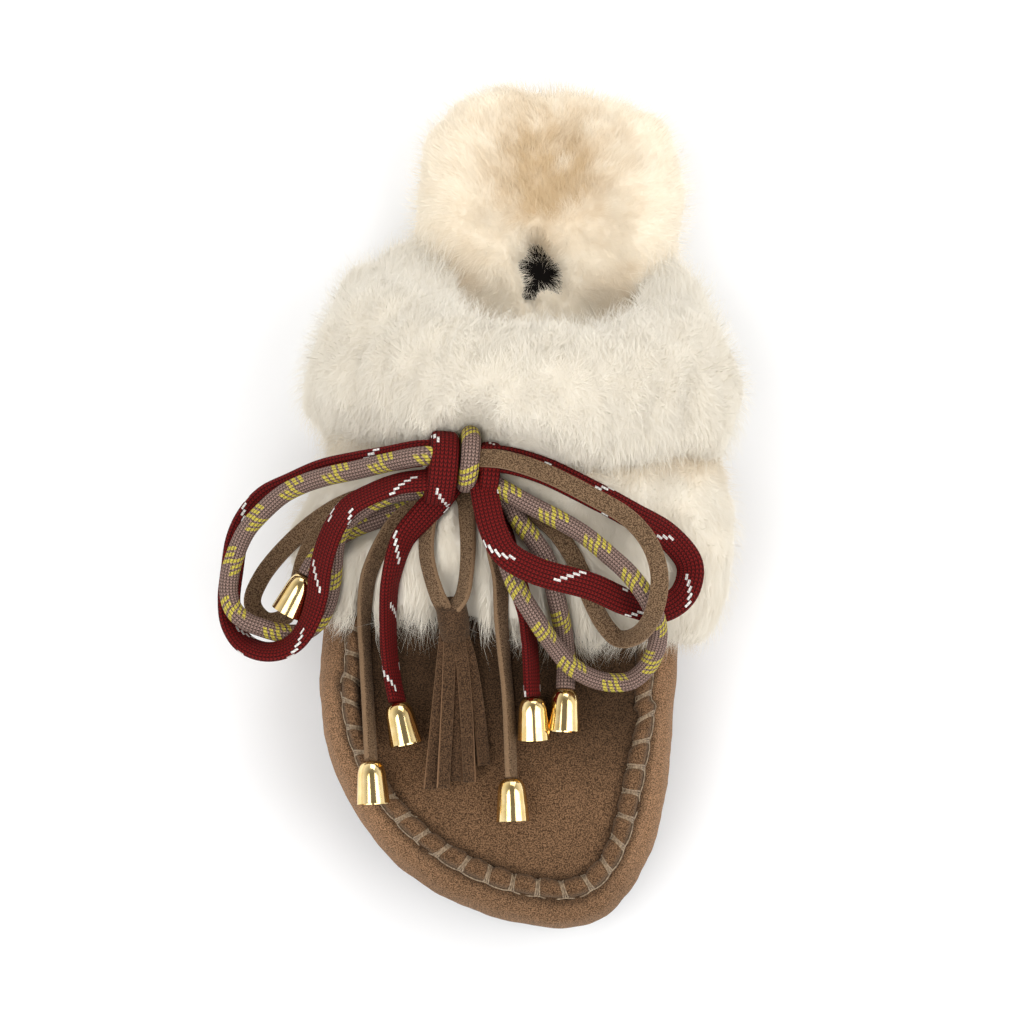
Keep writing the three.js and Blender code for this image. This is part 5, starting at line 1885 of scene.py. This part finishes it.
@dataclass
class Footbed:
    """The sheepskin insole, whose wool stands up round the bare heel, and the plain patch on it."""

    middle: Profile = Profile(BED_YS, (4, 4, 4, 4, 4, 4, 4, 3, 1, 1, 7, 15, 19))
    half: Profile = Profile(BED_YS, (24, 31, 37, 40, 41, 41, 39, 41, 45, 45, 38, 24, 8))
    rim: Profile = Profile(BED_YS, (11, 13, 15, 17, 18, 17, 13, 9, 8, 8, 8, 8, 7))
    seat: Profile = Profile(BED_YS, (11, 12, 13, 13.5, 14, 14, 10, 6, 6, 6, 6, 6, 6))
    combed_from: Spot = (4.0, 84.0)
    combed_over: Spot = (26.0, 30.0)
    combed: float = 0.8
    rim_width: float = 22.0
    sunk: float = 1.0
    rows: int = 120
    columns: int = 64
    end_rows: int = 12
    end_round: float = 2.6
    patch: Spot = (3.0, 72.0)
    patch_half: Spot = (7.5, 9.0)
    patch_seat: float = 6.5
    patch_thick: float = 1.2
    patch_profile: tuple[Spot, ...] = (
        (1.0, 0.0), (1.0, 0.7), (0.97, 0.95), (0.9, 1.0), (0.84, 0.93), (0.6, 1.02), (0.3, 1.1), (0.0, 1.12),
    )
    hollow: Spot = (5.6, 6.7)
    hollow_skew: Spot = (0.25, 0.1)
    slot_at: Spot = (-2.4, -7.0)
    slot_half: Spot = (1.9, 4.2)
    fleece: Fleece = Fleece(count=58000, length=4.6, seed=31)

    def _face(self) -> Array:
        """The upper face, in rows from the heel to the toe."""
        rows = []
        for y in np.linspace(BED_YS[0] - self.sunk, BED_YS[-1] + 1.0, self.rows):
            half = max(float(self.half(y + 3.0 * smoothstep(y, 90, 124))) - self.sunk, 3.0)
            rim = float(self.rim(y)) - 0.5
            seat = float(self.seat(y)) - 1.5
            floor = float(LAST.sole_top(y)) + LAST.gap
            x = float(self.middle(y))
            inward = min(self.rim_width, half * 0.6)
            line = [
                (half - 0.6, floor), (half, floor + 0.35 * rim), (half - 0.14 * inward, floor + 0.78 * rim),
                (half - 0.5 * inward, floor + rim),
                (half - inward, floor + lerp(rim, seat, 0.62)),
            ]
            inner = [(x + a, y, z) for a, z in line]
            outer = [(x - a, y, z) for a, z in line[::-1]]
            rows.append(resample(through(inner + [(x, y, floor + seat)] + outer, 0.1), self.columns))
        return np.concatenate([self._end(rows[0]), np.array(rows)])

    def build(self, wool: Material) -> None:
        """Build the insole with its hair.

        Args:
            wool: The finish.
        """
        face = self._face()
        normals = -grid_normals(face)
        face = face + normals * (0.8 * Ripple(20.0, 8)(face))[..., None]
        tone, weight = self._colouring(face)
        lean = np.zeros_like(face)
        outward = (face[..., :2] - np.array(self.combed_from)) / np.array(self.combed_over)
        lean[..., 0] = self.combed * np.clip(outward[..., 0], -1.0, 1.0)
        lean[..., 1] = self.combed * np.clip(outward[..., 1], -0.3, 1.0)
        lean[..., 2] = -0.5 * smoothstep(np.abs(normals[..., 2]), 0.8, 0.2)
        aside = face[..., :2] - np.array(self.patch)
        far = self._from_patch(face, aside)
        floor = LAST.sole_top(face[..., 1]) + LAST.gap + self.patch_seat - 0.3
        face[..., 2] -= (1.0 - smoothstep(far, 1.0, 1.7)) * np.maximum(face[..., 2] - floor, 0.0)
        normals = -grid_normals(face)
        close = 1.0 - smoothstep(far, 1.5, 2.2)
        lean[..., :2] = lerp(lean[..., :2], -self.combed * unit(aside + 1e-6), close[..., None])
        weight = weight * np.where(far < 0.95, 0.0, 1.0 + 1.5 * close)
        reach = 1.0 - 0.45 * close + 0.5 * smoothstep(face[..., 1], 125.5, 129.0)
        under = face[:, [-1, 0]].copy()
        under[..., 2] -= 0.2
        ground = Ground(face, normals, tone, weight, lean, reach)
        maker = MeshMaker()
        ground.close(maker, under)
        self.fleece.grow(maker, ground)
        made = declare(maker.build("wool_footbed", [wool]), "footbed")

    def _from_patch(self, face: Array, aside: Array) -> Array:
        """How far each point is from the hollow over the patch, and from the slot that runs out of it.

        Args:
            face: Points of the upper face.
            aside: Their places in plan, from the patch's centre.

        Returns:
            Distances, which are 1 on the edge of the hollow.
        """
        skewed = aside + np.array(self.hollow_skew) * aside[..., 1:]
        far = np.linalg.norm(skewed / np.array(self.hollow), axis=2)
        past = (aside - np.array(self.slot_at)) / np.array(self.slot_half)
        slot = np.hypot(past[..., 0], past[..., 1])
        return np.minimum(far * (1.0 + 0.13 * Ripple(9.0, 23)(face)), slot)

    def _end(self, row: Array) -> Array:
        """Rows that round off the heel end of the wool.

        Args:
            row: The first row of the face.

        Returns:
            Rows from the end's foot out to that row.
        """
        centre = row.mean(axis=0)
        centre[2] = row[0, 2] + 0.3
        rows = []
        for t in np.linspace(0.01, 1.0, self.end_rows, endpoint=False):
            made = lerp(centre, row, math.sqrt(t))
            made[:, 1] += self.end_round * math.sqrt(1.0 - t)
            rows.append(made)
        return np.array(rows)

    def _colouring(self, face: Array) -> tuple[Array, Array]:
        """How tan the wool is, with a painted shade on the heel side of the patch, and how dense.

        Args:
            face: Points of the insole's upper face.

        Returns:
            The two grids.
        """
        x, y = face[..., 0] - 4.0, face[..., 1]
        centre = np.exp(-((x / 19.0) ** 2) - ((y - 104.0) / 20.0) ** 2)
        # Painted shade: a tanner line where the wool parts on the heel side of the patch.
        furrow_shade = np.exp(-((x / 6.0) ** 2) - ((y - 90.0) / 12.0) ** 2)
        sides = 0.45 * np.exp(-(((np.abs(x) - 24.0) / 9.0) ** 2) - ((y - 64.0) / 14.0) ** 2)
        mottled = 1.0 + 0.28 * Ripple(7.0, 19)(face)
        tone = 0.12 + 0.8 * centre * mottled + 0.3 * furrow_shade + 0.6 * sides + 0.07 * Ripple(12.0, 17)(face)
        weight = np.where(y > 10.0, 1.0, 0.05)
        return np.clip(tone, 0.0, 1.0), weight

    def lay_patch(self, finish: Material) -> None:
        """Build the plain patch.

        Args:
            finish: The dark leather.
        """
        x, y = self.patch
        base = float(LAST.sole_top(y)) + LAST.gap + self.patch_seat + LAST.gap
        wide, tall = oval(full_turn(64), 6.25)
        outline = np.stack([self.patch_half[0] * wide, self.patch_half[1] * tall], axis=1)
        rows = []
        for share, height in self.patch_profile:
            z = np.full((len(outline), 1), base + self.patch_thick * height)
            rows.append(np.concatenate([outline * share + (x, y), z], axis=1))
        maker = MeshMaker()
        maker.grid(np.array(rows), wrap=True, flip=True, caps=True)
        declare(maker.build("plain_patch", [finish]), "heel_patch")


@dataclass
class Lining:
    """Short wool inside the upper, which shows at the open heel."""

    fleece: Fleece = Fleece(count=6000, length=5.0, seed=51)
    reach: float = 0.55

    def build(self, upper: Upper, wool: Material) -> None:
        """Grow the lining on the upper's inner face.

        Args:
            upper: The upper, already built.
            wool: The finish.
        """
        inside = upper.inside
        normals = -grid_normals(inside)
        side = int(upper.side_steps * self.reach)
        maker = MeshMaker()
        for part in (slice(0, side), slice(len(inside) - side, len(inside))):
            points = inside[part]
            lean = np.zeros_like(points)
            lean[..., 1] = 0.3
            even = np.ones(points.shape[:2])
            self.fleece.grow(maker, Ground(points, normals[part], 0.25 * even, even, lean, even))
        declare(maker.build("wool_lining", [wool]))


# Camera, floor and light

@dataclass
class Studio:
    """A plain pale floor, soft lights and the camera at the photograph's angle to the shoe."""

    image: int = 1024
    elevation: float = 78.0
    roll: float = 4.5
    distance: float = 950.0
    target: Point = (5.2, -13.7, 40.0)
    target_pixel: Spot = (527.0, 534.0)
    focal: float = 3192.0
    sensor: float = 36.0
    floor_half: float = 3000.0
    floor_height: float = -0.05
    lamps: tuple[tuple[str, Point, float, float], ...] = (
        ("key", (-0.9, -0.7, 1.7), 1.5, 23.0),
        ("fill", (1.2, -0.3, 1.5), 1.5, 19.0),
        ("back", (0.2, 1.5, 1.4), 1.4, 14.0),
    )
    lit: Point = (0.0, 0.0, 0.05)

    def camera(self) -> None:
        """Place the camera."""
        angle = math.radians(self.elevation)
        forward = Vector((0.0, math.cos(angle), -math.sin(angle)))
        right = Vector((1.0, 0.0, 0.0))
        up = right.cross(forward)
        turn = math.radians(self.roll)
        side = right * math.cos(turn) + up * math.sin(turn)
        above = up * math.cos(turn) - right * math.sin(turn)
        eye = (Vector(self.target) - forward * self.distance) * MM
        data = bpy.data.cameras.new("camera")
        data.sensor_width = self.sensor
        data.sensor_fit = "HORIZONTAL"
        data.lens = self.focal / self.image * self.sensor
        data.shift_x = -(self.target_pixel[0] - self.image / 2) / self.image
        data.shift_y = (self.target_pixel[1] - self.image / 2) / self.image
        data.clip_start = 0.05
        made = bpy.data.objects.new("camera", data)
        turned = Matrix((side, above, -forward)).transposed().to_4x4()
        turned.translation = eye
        made.matrix_world = turned
        bpy.context.scene.collection.objects.link(made)
        bpy.context.scene.camera = made

    def floor(self) -> None:
        """Lay the floor."""
        graph = Graph("pale_floor", {"Roughness": 0.8, "Specular IOR Level": 0.2})
        cloud = graph.noise(300.0, 1.0)
        material = graph.finish(graph.mix(cloud, (0.90, 0.90, 0.90), (0.93, 0.93, 0.93)))
        maker = MeshMaker()
        span = np.linspace(-self.floor_half, self.floor_half, 3)
        x, y = np.meshgrid(span, span, indexing="ij")
        maker.grid(np.stack([x, y, np.full_like(x, self.floor_height)], axis=2))
        maker.build("floor", [material])

    def lights(self) -> None:
        """Hang the soft lights, and light the room less from above than from its sides."""
        for name, place, size, power in self.lamps:
            data = bpy.data.lights.new(name, "AREA")
            data.size = size
            data.energy = power
            made = bpy.data.objects.new(name, data)
            made.location = place
            aim = Vector(self.lit) - Vector(place)
            made.rotation_euler = aim.to_track_quat("-Z", "Y").to_euler()
            bpy.context.scene.collection.objects.link(made)
        world = bpy.data.worlds.new("studio")
        world.use_nodes = True
        nodes, links = world.node_tree.nodes, world.node_tree.links
        back = nodes["Background"]
        back.inputs["Color"].default_value = (1.0, 1.0, 1.0, 1.0)
        way = nodes.new("ShaderNodeTexCoord")
        parts = nodes.new("ShaderNodeSeparateXYZ")
        dim = nodes.new("ShaderNodeMapRange")
        ends = {"From Min": 0.35, "From Max": 0.95, "To Min": 0.95, "To Max": 0.2}
        for socket, value in ends.items():
            dim.inputs[socket].default_value = value
        links.new(way.outputs["Generated"], parts.inputs[0])
        links.new(parts.outputs[2], dim.inputs[0])
        links.new(dim.outputs[0], back.inputs["Strength"])
        bpy.context.scene.world = world
        bpy.context.scene.view_settings.view_transform = "Standard"


def main() -> None:
    """Build the clog's pieces in order."""
    logging.basicConfig(level=logging.INFO, format="%(name)s: %(message)s")
    studio = Studio()
    studio.camera()
    studio.floor()
    studio.lights()

    # The upper's suede is painted up to 3.75 times paler where its mesh paints light.
    suede = Suede("taupe_suede", (0.0205, 0.0108, 0.0051), (0.104, 0.0567, 0.0292), pale=3.75).make()
    thong = Suede("thong_suede", (0.055, 0.031, 0.0165), (0.23, 0.143, 0.080), edge=1.1).make()
    fringe = Suede("tassel_suede", (0.024, 0.0125, 0.0065), (0.118, 0.064, 0.033), edge=3.0).make()
    wool = Wool("cream_wool", (0.85, 0.797, 0.69), (0.75, 0.62, 0.44)).make()
    fleece = Wool("footbed_wool", (0.95, 0.87, 0.725), (0.66, 0.495, 0.295)).make()
    burgundy = Braid("burgundy_braid", (0.125, 0.0062, 0.0055), (0.88, 0.85, 0.80), Fleck.DASHES, 21.0).make()
    taupe = Braid(
        "taupe_braid", (0.255, 0.168, 0.138), (0.64, 0.53, 0.08), Fleck.GROUPS, 15.0, column=1.0, stitch=0.95
    ).make()
    finishes = {LaceKind.BURGUNDY: burgundy, LaceKind.TAUPE: taupe, LaceKind.THONG: thong}

    bow = Bow()
    bow.build(finishes, Gold().make())
    bow.knot(finishes)
    bow.tassel(fringe)

    upper = Upper()
    upper.build(suede, fleece)
    seam = Seam(upper.seam)
    seam.build(suede)
    seam.sew(Thread().make())
    Sole().build(Moulded("sole_rubber", (0.045, 0.03, 0.02)).make())

    footbed = Footbed()
    footbed.build(fleece)
    dark = Moulded("patch_leather", (0.004, 0.003, 0.0025), grain=0.8, roughness=0.9, gloss=0.08).make()
    footbed.lay_patch(dark)
    Lining().build(upper, fleece)

    pressed = Pressed(bow)
    cuff = WoolBand(
        "wool_cuff", "cuff", (1.0, 33.5), (14.0, 88.0), 0.1, (22.5, 17.0, 14.5),
        (Fleece(57000, 4.4, seed=71), Fleece(57000, 5.0, seed=91)), flat=1.48, tuck=0.45, ruffle=1.6,
    )
    cuff.build(wool, pressed)
    # The tongue's back edge, under the cuff, gets painted shade.
    tongue = WoolBand(
        "wool_tongue", "tongue", (-43.0, 6.0), (-38.0, 22.0), 0.2, (13.0, 12.0, 17.0),
        (Fleece(57000, 4.2, seed=111),), fan=0.5, combed=0.6, tan=0.16, crease_shade=0.6, sunk=-0.8,
    )
    tongue.build(wool, pressed)


if __name__ == "__main__":
    main()
